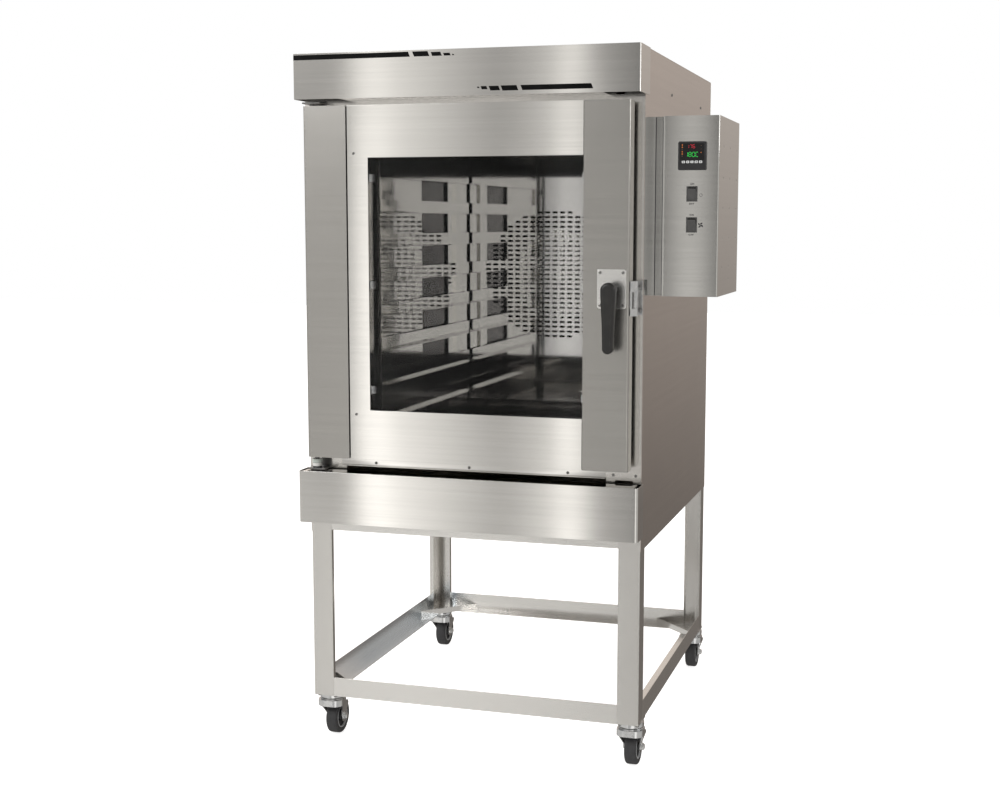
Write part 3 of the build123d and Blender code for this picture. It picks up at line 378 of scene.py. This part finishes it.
def turned(name, start, axis, rings, sides=64, hollow=False):
    """A turned piece: a disc drawn out ring by ring, each a step along the axis and a radius."""
    deselect()
    first_step, first_radius = rings[0]
    bpy.ops.mesh.primitive_circle_add(
        vertices=sides,
        radius=first_radius / 1000.0,
        fill_type="NOTHING" if hollow else "NGON",
        location=at(*start) + along[axis] * first_step / 1000.0,
        rotation=ways[axis],
    )
    piece = bpy.context.object
    piece.name = name
    bpy.ops.object.mode_set(mode="EDIT")
    bpy.ops.mesh.select_all(action="SELECT")
    for (step, radius), (next_step, next_radius) in zip(rings, rings[1:]):
        move = along[axis] * (next_step - step) / 1000.0
        bpy.ops.mesh.extrude_region_move(TRANSFORM_OT_translate={"value": move})
        bpy.ops.transform.resize(value=(next_radius / radius,) * 3)
    if hollow:
        bpy.ops.mesh.select_all(action="SELECT")
        bpy.ops.mesh.remove_doubles(threshold=0.00002)
    bpy.ops.object.mode_set(mode="OBJECT")
    bpy.ops.object.transform_apply(location=True, rotation=True, scale=True)
    return piece


def copied(piece, name, move):
    """One more of a modelled piece, with its own mesh, moved by millimetres."""
    twin = piece.copy()
    twin.data = piece.data.copy()
    twin.name = name
    twin.data.transform(Matrix.Translation(Vector(move) / 1000.0))
    bpy.context.scene.collection.objects.link(twin)
    return twin


def zinc_plate(name, colour, roughness):
    """Bright zinc plating: a cloudy, slightly blue passivation with fine spangle."""
    made, place, shader = finish_of(name, colour, 1.0, roughness)
    cloud = place.noise(45.0, 4.0)
    spangle = place.noise(900.0, 1.0)
    blue = tuple(part * shift for part, shift in zip(colour, (0.88, 0.89, 0.91)))
    cloud.rise(0.35, 0.65).mixed(blue, colour).to(shader.inputs["Base Color"])
    (cloud * 0.14 + spangle * 0.06 + (roughness - 0.1)).to(shader.inputs["Roughness"])
    bump = spangle.node("Bump", inputs={"Height": spangle, "Strength": 0.06, "Distance": 0.0003})
    bump.to(shader.inputs["Normal"])
    return made


def moulded(name, colour, roughness, speckle=0.3, scale=1400.0, depth=0.15):
    """Moulded plastic or rubber: a fine grain in the surface and slightly uneven wear."""
    made, place, shader = finish_of(name, colour, 0.0, roughness)
    grain = place.noise(scale, 2.0)
    wear = place.noise(30.0, 3.0)
    pale = tuple(part * (1.0 + speckle) + 0.004 for part in colour)
    (wear * 0.7 + grain * 0.3).rise(0.4, 0.75).mixed(colour, pale).to(shader.inputs["Base Color"])
    (grain * 0.12 + wear * 0.12 + (roughness - 0.12)).to(shader.inputs["Roughness"])
    bump = grain.node("Bump", inputs={"Height": grain, "Strength": depth, "Distance": 0.0003})
    bump.to(shader.inputs["Normal"])
    return made


plated = zinc_plate("plated_steel", (0.68, 0.68, 0.675), 0.20)
tread_rubber = moulded("tread_rubber", (0.034, 0.034, 0.036), 0.62, 0.5)
hub_nylon = moulded("hub_nylon", (0.016, 0.016, 0.018), 0.38, 0.5)
hub_ring = moulded("hub_ring", (0.42, 0.43, 0.44), 0.45, 0.1)
forks = ("caster_fork_fl", "caster_fork_fr", "caster_fork_rl", "caster_fork_rr")
eased(plated, "caster_plates", *forks, edge=0.6)
left_x, right_x, front_y, rear_y = 34.0, 916.0, 125.0, 1061.0
trail, axle_height, nut_offset = 33.0, 50.0, 29.0
first_axle = (left_x, front_y + trail, axle_height)
tread = turned("tread", first_axle, "x", (
    (-15.4, 38.0), (-16.4, 39.0), (-17.0, 42.5), (-16.4, 46.0), (-14.6, 48.6), (-11.5, 49.85),
    (-4.0, 50.0), (4.0, 50.0), (11.5, 49.85), (14.6, 48.6), (16.4, 46.0), (17.0, 42.5),
    (16.4, 39.0), (15.4, 38.0), (-15.4, 38.0),
), sides=96, hollow=True)
hub = turned("hub", first_axle, "x", (
    (-15.4, 37.9), (-15.4, 34.6), (-12.0, 33.0), (-8.0, 31.0), (-7.0, 24.0), (-7.0, 18.5),
    (-8.0, 17.0), (-14.6, 15.6), (-15.8, 14.6), (-16.2, 5.1), (16.2, 5.1), (15.8, 14.6),
    (14.6, 15.6), (8.0, 17.0), (7.0, 18.5), (7.0, 24.0), (8.0, 31.0), (12.0, 33.0),
    (15.4, 34.6), (15.4, 37.9), (-15.4, 37.9),
), sides=96, hollow=True)
ring = turned("hub_ring", first_axle, "x", (
    (15.4, 34.3), (15.9, 34.0), (15.9, 31.8), (11.4, 31.4), (11.4, 32.9), (15.4, 34.3),
), sides=96, hollow=True)
race = turned("race_ring", (left_x, front_y, 0.0), "z", (
    (114.1, 30.0), (114.1, 34.6), (114.9, 35.6), (116.4, 35.6), (117.3, 34.6), (117.3, 30.0),
    (114.1, 30.0),
), sides=96, hollow=True)
collar = turned("nut_collar", (left_x + nut_offset, front_y + trail, axle_height), "x", (
    (-6.8, 12.0), (-5.6, 12.0), (-5.6, 8.6), (0.2, 8.6), (1.6, 7.8), (2.2, 6.2), (2.2, 5.05),
    (-6.8, 5.05), (-6.8, 12.0),
), hollow=True)
for name, x, y in (
    ("fl", left_x, front_y),
    ("fr", right_x, front_y),
    ("rl", left_x, rear_y),
    ("rr", right_x, rear_y),
):
    shift = (x - left_x, y - front_y, 0.0)
    wheel, fork = "wheel_" + name, "fork_" + name
    finished(copied(tread, "tread_" + name, shift), tread_rubber, wheel, "wheel_plastic", wheel)
    finished(copied(hub, "hub_" + name, shift), hub_nylon, wheel, "wheel_plastic")
    finished(copied(ring, "hub_ring_" + name, shift), hub_ring, wheel, "wheel_plastic")
    finished(copied(race, "race_ring_" + name, shift), plated, fork, "plated_steel")
    finished(copied(collar, "nut_collar_" + name, shift), plated, fork, "plated_steel")
for pattern_piece in (tread, hub, ring, race, collar):
    bpy.data.objects.remove(pattern_piece)


# The cabinet's skins: 1.5 mm stainless sheets, flanged and riveted to the floor pan and the front
# frame, ground duller on the sides than in front. The sides' warmer colour is a painted warm
# reflection.
# The side sheets' warm, slightly darker colour is a painted reflection of the warm room beside the
# oven.
side_steel_painted_warm = ground_steel("side_steel_painted_warm", (0.66, 0.605, 0.565), 0.24, 0.08, 0.08)
frame_steel = ground_steel("frame_steel", (0.66, 0.64, 0.61), 0.20)
eased(side_steel_painted_warm, "side_panel_left", "side_panel_right", "back_panel", "top_panel", edge=0.4)
dress(side_steel_painted_warm, "floor_pan")
eased(frame_steel, "front_frame", edge=0.0)


# The header: one folded stainless sheet over the door, brushed level, with a row of vents in its
# underside. Black vinyl bars run out into short slanted pieces, top left and bottom right.
front_steel = ground_steel("front_steel", (0.69, 0.675, 0.65), 0.07, 0.04, 0.015)
eased(front_steel, "header_fascia", edge=0.6)
vinyl = moulded("black_vinyl", (0.002, 0.002, 0.002), 0.5, 0.6, 700.0, 0.05)
vinyl.node_tree.nodes["Principled BSDF"].inputs["Specular IOR Level"].default_value = 0.06


def block(name, x, y, z):
    """A plain block between two x, two y and two z values, ready to be shaped."""
    deselect()
    low, high = at(min(x), min(y), min(z)), at(max(x), max(y), max(z))
    bpy.ops.mesh.primitive_cube_add(size=1.0, location=(low + high) / 2, scale=high - low)
    piece = bpy.context.object
    piece.name = name
    bpy.ops.object.transform_apply(location=True, rotation=True, scale=True)
    return piece


def pick(piece, chosen):
    """Selects, in edit mode, only the vertices for which the question on their place is true."""
    deselect()
    piece.select_set(True)
    bpy.context.view_layer.objects.active = piece
    bpy.ops.object.mode_set(mode="EDIT")
    bpy.ops.mesh.select_all(action="DESELECT")
    bpy.ops.mesh.select_mode(type="VERT")
    bpy.ops.object.mode_set(mode="OBJECT")
    for point in piece.data.vertices:
        point.select = chosen(point.co)
    bpy.ops.object.mode_set(mode="EDIT")


def shifted(piece, chosen, move):
    """Moves the chosen vertices of a piece by millimetres."""
    pick(piece, chosen)
    bpy.ops.transform.translate(value=Vector(move) / 1000.0)
    bpy.ops.object.mode_set(mode="OBJECT")


slant = 5.3
film_depth = 0.12
bars = (    # name, left, right, lowest, highest, and how far the foot leans
    ("bar_top", 1.0, 329.0, 1910.0, 1923.0, 0.0),
    ("slip_top_1", 340.5, 383.3, 1910.0, 1923.0, slant),
    ("slip_top_2", 391.9, 418.6, 1910.0, 1920.3, slant * 0.8),
    ("slip_top_3", 426.1, 444.1, 1910.0, 1917.0, slant * 0.6),
    ("slip_top_4", 450.3, 455.3, 1910.3, 1913.6, slant * 0.3),
    ("bar_low", 636.0, 822.5, 1817.0, 1830.0, slant),
    ("slip_low_1", 582.7, 625.1, 1817.0, 1830.0, slant),
    ("slip_low_2", 550.4, 576.7, 1818.0, 1829.6, slant * 0.9),
    ("slip_low_3", 528.5, 544.1, 1821.5, 1829.6, slant * 0.6),
    ("slip_low_4", 518.5, 524.1, 1825.0, 1828.6, slant * 0.3),
)
for name, left, right, low, high, lean in bars:
    film = block(name, (left, right), (-film_depth, 0.0), (low, high))
    halfway = at(0.0, 0.0, (low + high) / 2).z
    right_end = at(right - 1.0, 0.0, 0.0).x
    if lean:
        shifted(film, lambda co: co.z < halfway, (lean, 0.0, 0.0))
    else:
        shifted(film, lambda co: co.z < halfway and co.x > right_end, (slant, 0.0, 0.0))
    finished(film, vinyl, "oven", "control_plastic")


# The lower fascia and the drip strip: the same brushed sheet below the door, folded round the
# front of the cabinet, and the narrow gutter under the door, screwed to the frame.
eased(front_steel, "lower_fascia", edge=0.6)
eased(front_steel, "drip_strip", edge=0.3)


# The chamber: smooth stainless sheet, half bright, wrapped in mineral wool. In it hang the ledged
# tray rails, the slotted guard before the fan, the element's rings and the probe.
upright = (400.0, 400.0, 3.0)
# The liner's dark colour is painted shade inside the closed chamber, darker still on its walls from
# 879 to 1747 mm up.
liner_steel = ground_steel("liner_steel", (0.22, 0.21, 0.20), 0.15, 0.04, 0.02, upright)
liner_tone, liner_height, liner_socket = second_tone(liner_steel, "Z")
painted_shade_walls = liner_height.rise(0.879, 0.884) - liner_height.rise(1.742, 1.747)
painted_shade_walls.mixed(liner_tone, (0.075, 0.070, 0.065)).to(liner_socket)
rail_steel = ground_steel("rail_steel", (0.70, 0.69, 0.66), 0.05, 0.02, 0.01)
guard_steel = ground_steel("guard_steel", (0.66, 0.65, 0.64), 0.045, 0.02, 0.01)
dress(liner_steel, "oven_liner", "vent_pipe")
dress(rail_steel, "rack_left", "rack_right")
dress(guard_steel, "fan_guard")
eased(rail_steel, "fan_impeller", "temperature_probe", edge=0.3)

wool, wool_place, wool_shader = finish_of("mineral_wool", (0.56, 0.52, 0.36), 0.0, 0.95)
fibres = wool_place.stretched(60.0, 900.0, 240.0).noise(1.0, 4.0)
wool_tone = fibres.rise(0.3, 0.7).mixed((0.46, 0.42, 0.27), (0.66, 0.62, 0.46))
wool_tone.to(wool_shader.inputs["Base Color"])
wool_bump = fibres.node("Bump", inputs={"Height": fibres, "Strength": 0.6, "Distance": 0.002})
wool_bump.to(wool_shader.inputs["Normal"])
dress(wool, "insulation")

oxide, oxide_place, oxide_shader = finish_of("element_steel", (0.16, 0.14, 0.13), 0.85, 0.45)
heat = oxide_place.noise(60.0, 3.0)
oxide_tone = heat.rise(0.35, 0.7).mixed((0.10, 0.09, 0.085), (0.26, 0.22, 0.19))
oxide_tone.to(oxide_shader.inputs["Base Color"])
(heat * 0.25 + 0.32).to(oxide_shader.inputs["Roughness"])
dress(oxide, "heating_element")

cast, cast_place, cast_shader = finish_of("motor_aluminium", (0.58, 0.59, 0.60), 0.9, 0.5)
sand = cast_place.noise(800.0, 3.0)
cast_tone = sand.rise(0.3, 0.7).mixed((0.50, 0.51, 0.52), (0.64, 0.65, 0.66))
cast_tone.to(cast_shader.inputs["Base Color"])
cast_bump = sand.node("Bump", inputs={"Height": sand, "Strength": 0.3, "Distance": 0.0005})
cast_bump.to(cast_shader.inputs["Normal"])
eased(cast, "fan_motor", edge=0.4)


# The door: a folded pan with three brushed skins and two panes held by small angles, over a black
# silicone gasket on the frame. The stiles are ground duller than the panel round the window, and
# their darker colour is painted shade.
# The stiles' darker colour is painted shade.
stile_steel_painted_dark = ground_steel("stile_steel_painted_dark", (0.435, 0.422, 0.40), 0.25, 0.06, 0.05)
silicone = moulded("gasket_silicone", (0.02, 0.02, 0.02), 0.55, 0.6, 500.0)
dress(silicone, "door_gasket")
eased(front_steel, "door_frame", edge=0.3)
eased(stile_steel_painted_dark, "hinge_stile", "handle_stile", edge=0.3)
eased(front_steel, "window_panel", edge=0.4)
eased(plated, "glass_clips", edge=0.15)


def tinted_pane(name, colour, held_back):
    """Float glass: clear with a grey tint, and more mirror-like towards its edges of view."""
    made, place, shader = finish_of(name, colour, 0.0, 0.03)
    film = place.noise(7.0, 3.0)
    (film * 0.03 + 0.02).to(shader.inputs["Roughness"])
    mirror = place.node("Fresnel", inputs={"IOR": 1.45})
    (mirror * 0.8 + film * 0.02 + (held_back - 0.01)).to(shader.inputs["Alpha"])
    return made


glass_tint = (0.018, 0.019, 0.018)
outer_pane = tinted_pane("outer_pane", glass_tint, 0.07)
inner_pane = tinted_pane("inner_pane", glass_tint, 0.03)
dress(outer_pane, "outer_glass")
dress(inner_pane, "inner_glass")


# The handle: a bright ground plate with four screws, a satin black moulded lever on the spindle,
# and behind the skin the plated hook for the strike on the frame. The hinges' lower pin wears a
# nylon nut, washer and bush.
handle_steel = ground_steel("handle_steel", (0.80, 0.79, 0.77), 0.24, 0.06, 0.05)
lever_black = moulded("lever_black", (0.0095, 0.009, 0.008), 0.42, 0.5, 1200.0, 0.10)
eased(handle_steel, "handle_plate", edge=0.0)
eased(lever_black, "door_lever", edge=0.0, angle=50.0)
eased(plated, "latch_hook", edge=0.3)
eased(plated, "latch_strike", edge=0.5)
# The hinge brackets' dark plating is painted shade in the shadow round the hinges.
bracket_steel_painted_dark = zinc_plate("bracket_steel_painted_dark", (0.20, 0.195, 0.19), 0.34)
eased(bracket_steel_painted_dark, "hinge_brackets", edge=0.5)
bush_nylon = moulded("bush_nylon", (0.52, 0.57, 0.53), 0.42, 0.08, 900.0)
white_nylon = moulded("white_nylon", (0.70, 0.70, 0.68), 0.42, 0.08, 900.0)
hinge_pin = (38.0, 35.0, 0.0)
for name, nylon, low, high, inner, outer in (
    ("nut", hub_nylon, 803.2, 807.6, 9.05, 12.4),
    ("washer", white_nylon, 808.0, 817.4, 9.05, 12.8),
    ("bush", bush_nylon, 818.0, 828.0, 13.55, 14.0),
):
    sleeve = turned("hinge_" + name, hinge_pin, "z", (
        (low, inner), (low, outer), (high, outer), (high, inner), (low, inner),
    ), hollow=True)
    finished(sleeve, nylon, "oven", "control_plastic", edge=0.15)


# The control box: a folded housing on the cabinet's right side and its screwed cover, with a
# folded hem along the left edge and rows of small dimples pressed into its side.
box_steel = ground_steel("box_steel", (0.64, 0.63, 0.605), 0.075, 0.04, 0.015)
eased(box_steel, "control_box", edge=0.4)
eased(box_steel, "control_front", edge=0.0)
cover = bpy.data.objects["control_front_eased"]
hem = at(1002.0, 0.0, 0.0).x
pick(cover, lambda co: True)
bpy.ops.mesh.bisect(plane_co=(hem, 0.0, 1.5), plane_no=(1.0, 0.0, 0.0))
cover_skin = at(0.0, 69.0, 0.0).y
hem_sink = 0.12
shifted(cover, lambda co: co.x < hem - 0.001 and co.y < cover_skin, (0.0, hem_sink, 0.0))
box_side = 1141.0
dimple_rows, dimple_columns = (1674.0, 1594.0, 1517.0, 1439.0, 1364.0), (140.0, 250.0, 372.0)
dimple_spots = [(y, z) for z in dimple_rows for y in dimple_columns] + [(251.0, 1331.0)]
bowl = ((0.0, 3.0), (-1.0, 2.95), (-1.7, 2.5), (-2.2, 1.8), (-2.45, 0.8))
stretched_back = Matrix.Diagonal((1.0, 2.0, 1.0, 1.0))
dimples = []
for n, (y, z) in enumerate(dimple_spots):
    dimple = turned(f"dimple_{n}", origin, "x", bowl, sides=24)
    dimple.data.transform(Matrix.Translation(at(box_side, y, z)) @ stretched_back)
    dimples.append(dimple)


def joined(name, parts):
    """Several modelled parts as one piece."""
    deselect()
    bpy.context.view_layer.update()
    with bpy.context.temp_override(active_object=parts[0], selected_editable_objects=parts):
        bpy.ops.object.join()
    parts[0].name = name
    return parts[0]


def cut(piece, cutter):
    """Cuts one modelled shape out of another, and does away with the cutter."""
    deselect()
    for shape in (cutter, piece):
        shape.select_set(True)
        bpy.context.view_layer.objects.active = shape
        bpy.ops.object.mode_set(mode="EDIT")
        bpy.ops.mesh.select_all(action="SELECT")
        bpy.ops.mesh.normals_make_consistent(inside=False)
        bpy.ops.object.mode_set(mode="OBJECT")
        shape.select_set(False)
    piece.select_set(True)
    bpy.context.view_layer.objects.active = piece
    taken = piece.modifiers.new("cut", "BOOLEAN")
    taken.operation = "DIFFERENCE"
    taken.solver = "EXACT"
    taken.object = cutter
    bpy.ops.object.modifier_apply(modifier=taken.name)
    bpy.data.objects.remove(cutter)


cut(cover, joined("dimple_punch", dimples))
cut(cover, block("hem_groove", (1000.2, 1001.9), (66.0, 69.7), (1290.0, 1752.0)))
finished(cover, box_steel, "oven", "stainless", edge=0.25, outward=False)
# Two dark strips of painted shade: the shadow line in the box's joint and the one beside the
# cover's left edge.
for name, left, right in (("joint_seal", 975.5, 978.1), ("cover_seal", 994.2, 995.8)):
    shade_strip = block(name, (left, right), (69.8, 70.5), (1293.5, 1747.5))
    finished(shade_strip, silicone, "oven", "gasket_silicone", edge=0.25)


# The controller: a square moulded panel instrument with red figures for the oven, green ones for
# the set heat, a column of lamps, and five pale rubber keys.
case_black = moulded("case_black", (0.012, 0.012, 0.013), 0.40, 0.6, 1600.0, 0.08)
window_black = moulded("window_black", (0.004, 0.004, 0.004), 0.16, 0.4, 300.0, 0.0)
key_rubber = moulded("key_rubber", (0.66, 0.67, 0.67), 0.5, 0.06, 1500.0)
mark_black = moulded("mark_black", (0.012, 0.012, 0.013), 0.5, 0.4, 900.0, 0.0)
eased(case_black, "controller", edge=0.3)
eased(key_rubber, "key_1", "key_2", "key_3", "key_4", "key_5", edge=0.25)
panel_x, panel_z = 1071.5, 1648.6
screen_front, lamp_front, key_front = 60.9, 61.2, 59.9
screen_reach, screen_foot = 30.6, 11.0
screen = block(
    "screen",
    (panel_x - screen_reach, panel_x + screen_reach),
    (screen_front, 61.4),
    (panel_z - screen_foot, panel_z + screen_reach),
)
finished(screen, window_black, "oven", "control_plastic", edge=0.2)


def glowing(name, colour, strength):
    """A lit figure or lamp behind a smoked window, a little brighter in places."""
    made, place, shader = finish_of(name, (0.01, 0.01, 0.01), 0.0, 0.3)
    dim = tuple(part * 0.75 for part in colour)
    place.noise(700.0).rise(0.3, 0.6).mixed(dim, colour).to(shader.inputs["Emission Color"])
    shader.inputs["Emission Strength"].default_value = strength
    return made


red_glow = glowing("red_glow", (0.80, 0.02, 0.05), 1.3)
green_glow = glowing("green_glow", (0.03, 0.85, 0.10), 1.5)
amber_glow = glowing("amber_glow", (0.85, 0.22, 0.03), 0.8)
faint_glow = glowing("faint_glow", (0.10, 0.04, 0.02), 0.6)
stroke_width, stroke_gap, figure_gap, stroke_depth = 0.45, 0.25, 2.6, 0.00015
lit = {"0": "abcdef", "1": "bc", "6": "acdefg", "7": "abc", "8": "abcdefg", "C": "adef"}
for name, figures, left, base, width, height, glow in (
    ("red_figures", "176", 1058.0, 1667.6, 5.0, 8.6, red_glow),
    ("green_figures", "180C", 1053.4, 1646.2, 6.6, 11.2, green_glow),
):
    strokes = []
    pitch = width + figure_gap
    for place, figure in enumerate(figures):
        x0 = left + place * pitch
        upper, middle, half = base + height, base + height / 2, height / 2
        spots = {
            "a": (x0 + width / 2, upper, True), "g": (x0 + width / 2, middle, True),
            "d": (x0 + width / 2, base, True), "b": (x0 + width, middle + half / 2, False),
            "c": (x0 + width, base + half / 2, False), "e": (x0, base + half / 2, False),
            "f": (x0, middle + half / 2, False),
        }
        for part in lit[figure]:
            x, z, level_stroke = spots[part]
            reach = (width if level_stroke else half) / 2 - stroke_gap
            size = (reach, stroke_width) if level_stroke else (stroke_width, reach)
            deselect()
            bpy.ops.mesh.primitive_circle_add(
                vertices=6, radius=0.001, fill_type="NGON", rotation=ways["y"]
            )
            stroke = bpy.context.object
            stroke.scale = (*size, 1.0)
            stroke.location = at(x, screen_front, z)
            bpy.ops.object.transform_apply(location=True, rotation=True, scale=True)
            pick(stroke, lambda co: True)
            forward = (0.0, -stroke_depth, 0.0)
            bpy.ops.mesh.extrude_region_move(TRANSFORM_OT_translate={"value": forward})
            bpy.ops.object.mode_set(mode="OBJECT")
            strokes.append(stroke)
    finished(joined(name, strokes), glow, "oven", "control_plastic")
for name, glows, x, top, pitch, dome in (
    (
        "lamp", (amber_glow, amber_glow, faint_glow, amber_glow, amber_glow, faint_glow),
        1046.4, 1675.5, 5.6, ((0.0, 1.5), (-0.4, 1.5), (-0.6, 1.1)),
    ),
    (
        "point", (faint_glow, faint_glow, amber_glow),
        1094.4, 1673.7, 8.6, ((0.0, 1.2), (-0.4, 1.2), (-0.6, 0.8)),
    ),
):
    for n, glow in enumerate(glows):
        dot = turned(f"{name}_{n}", (x, lamp_front, top - n * pitch), "y", dome, sides=20)
        finished(dot, glow, "oven", "control_plastic")
key_pitch, key_height = 11.0, 1633.0
for n, corners in enumerate((4, 3, 3, 4, 3)):
    spot = (panel_x + (n - 2) * key_pitch, key_front, key_height)
    arrow = turned(f"key_mark_{n + 1}", spot, "y", ((0.0, 1.9), (-0.08, 1.9)), sides=corners)
    if n == 2:
        centre = at(panel_x, 0.0, key_height)
        upside_down = Matrix.Rotation(pi, 4, "Y")
        arrow.data.transform(
            Matrix.Translation(centre) @ upside_down @ Matrix.Translation(-centre)
        )
    finished(arrow, mark_black, f"key_{n + 1}", "control_plastic")


# The rocker switches: black nylon frames snapped into the cover with a tipping paddle each, their
# words printed above and below, and a lamp and a fan printed beside them.
rocker_nylon = moulded("rocker_nylon", (0.055, 0.054, 0.053), 0.42, 0.35, 1600.0, 0.12)
eased(rocker_nylon, "rocker_frames", edge=0.5)
eased(rocker_nylon, "rocker_1", "rocker_2", edge=0.6)
face_y = 68.5


def printed(name, words, x, z, size):
    """Words printed on the cover, as a thin flat film."""
    deselect()
    bpy.ops.object.text_add()
    text = bpy.context.object
    text.data.body = words
    text.data.size = size / 1000.0
    text.data.align_x = "CENTER"
    text.data.align_y = "CENTER"
    text.data.extrude = 0.00005
    text.data.offset = 0.00022
    text.data.space_character = 1.25
    bpy.ops.object.convert(target="MESH")
    text.name = name
    text.rotation_euler = (pi / 2, 0.0, 0.0)
    text.location = at(x, face_y - 0.05, z)
    finished(text, mark_black, "oven", "control_plastic", outward=False)


letter_size, word_above, word_below = 6.4, 24.8, 25.5
for n, z in enumerate((1553.0, 1474.6)):
    printed(f"on_word_{n + 1}", "ON", panel_x, z + word_above, letter_size)
    printed(f"off_word_{n + 1}", "OFF", panel_x - 1.0, z - word_below, letter_size)
mark_x, lamp_mark_z, fan_mark_z, ink_depth = 1094.5, 1549.7, 1474.0, -0.1
lamp_ring = turned("lamp_mark", (mark_x, face_y, lamp_mark_z), "y", (
    (0.0, 4.2), (ink_depth, 4.2), (ink_depth, 3.3), (0.0, 3.3), (0.0, 4.2),
), sides=6, hollow=True)
finished(lamp_ring, mark_black, "oven", "control_plastic")
fan_spot = (mark_x, face_y, fan_mark_z)
blades = [turned("fan_hub_mark", fan_spot, "y", ((0.0, 1.5), (ink_depth, 1.5)), sides=20)]
blade_spot = (middle_x, face_y, 0.0)
outward_and_turned = Matrix.Translation((0.0, 0.0, 0.0045)) @ Matrix.Rotation(0.6, 4, "Y")
blade_shape = outward_and_turned @ Matrix.Diagonal((0.62, 1.0, 1.15, 1.0))
for n in range(4):
    blade = turned(f"blade_mark_{n}", blade_spot, "y", ((0.0, 3.0), (ink_depth, 3.0)), sides=20)
    swing = Matrix.Rotation(n * pi / 2 + 0.5, 4, "Y")
    blade.data.transform(
        Matrix.Translation(at(mark_x, middle_y, fan_mark_z)) @ swing @ blade_shape
    )
    blades.append(blade)
finished(joined("fan_mark", blades), mark_black, "oven", "control_plastic")


# The cable gland and the switchgear: grey polyamide, moulded, the gland with a hexagon to grip.
gland_grey = moulded("gland_grey", (0.12, 0.12, 0.13), 0.45, 0.3, 1200.0)
eased(gland_grey, "cable_gland", edge=0.6)
dress(gland_grey, "contactor")


# The screws: cross-recessed pan heads of bright stainless steel on every visible sheet, and
# hexagon heads under the caster plates.
screw_steel = zinc_plate("screw_steel", (0.30, 0.29, 0.28), 0.22)
pan = turned("pan_head", origin, "z", (
    (0.0, 4.0), (0.9, 4.0), (1.5, 3.7), (1.95, 3.0), (2.2, 1.8),
), sides=32)
cut(pan, block("cross_a", (567.6, 572.4), (540.5, 541.5), (1.1, 4.0)))
cut(pan, block("cross_b", (569.5, 570.5), (538.6, 543.4), (1.1, 4.0)))
hexagon = turned("hexagon_head", origin, "z", ((0.0, 5.5), (4.1, 5.5), (5.0, 4.7)), sides=6)
facing = {
    "front": Matrix.Rotation(pi / 2, 4, "X"),
    "back": Matrix.Rotation(-pi / 2, 4, "X"),
    "right": Matrix.Rotation(pi / 2, 4, "Y"),
    "left": Matrix.Rotation(-pi / 2, 4, "Y"),
    "down": Matrix.Rotation(pi, 4, "X"),
}
cabinet_spots = [("front", x, 68.5, 817.5) for x in (200.0, 471.6, 748.6)]
cabinet_spots += [("front", x, 70.0, 817.5) for x in (872.6, 933.0)]
cabinet_spots += [("front", 939.0, 67.0, z) for z in (1256.0, 1317.0)]
cabinet_spots += [("right", 948.5, y, 1832.0) for y in (426.0, 900.0)]
cabinet_spots += [("left", 1.5, y, 1832.0) for y in (426.0, 900.0)]
cabinet_spots += [
    ("back", x, 1090.0, z) for x in (60.0, 890.0) for z in (700.0, 1270.0, 1860.0)
]
plate_underside = 133.0
bolt_spots = [
    ("down", x + dx, y + dy, plate_underside)
    for x in (left_x, right_x) for y in (front_y, rear_y)
    for dx in (-24.0, 24.0) for dy in (-34.0, 34.0)
]
spindle_x, spindle_z = 879.5, 1311.15
door_spots = [("front", 170.2, 3.0, z) for z in (961.2, 1662.5)]
door_spots += [
    ("front", spindle_x + dx, 0.0, spindle_z + dz)
    for dx in (-30.0, 30.0) for dz in (-42.0, 42.0)
]
for name, body, spots, node in (
    ("cabinet_screws", "oven", cabinet_spots + bolt_spots, "screws"),
    ("door_screw_heads", "door", door_spots, "door_screws"),
):
    heads = []
    for n, (way, x, y, z) in enumerate(spots):
        head = copied(hexagon if way == "down" else pan, f"{name}_{n}", (0.0, 0.0, 0.0))
        head.data.transform(Matrix.Translation(at(x, y, z)) @ facing[way])
        heads.append(head)
    finished(joined(name, heads), screw_steel, body, slot_of[node], node)
for pattern_piece in (pan, hexagon):
    bpy.data.objects.remove(pattern_piece)
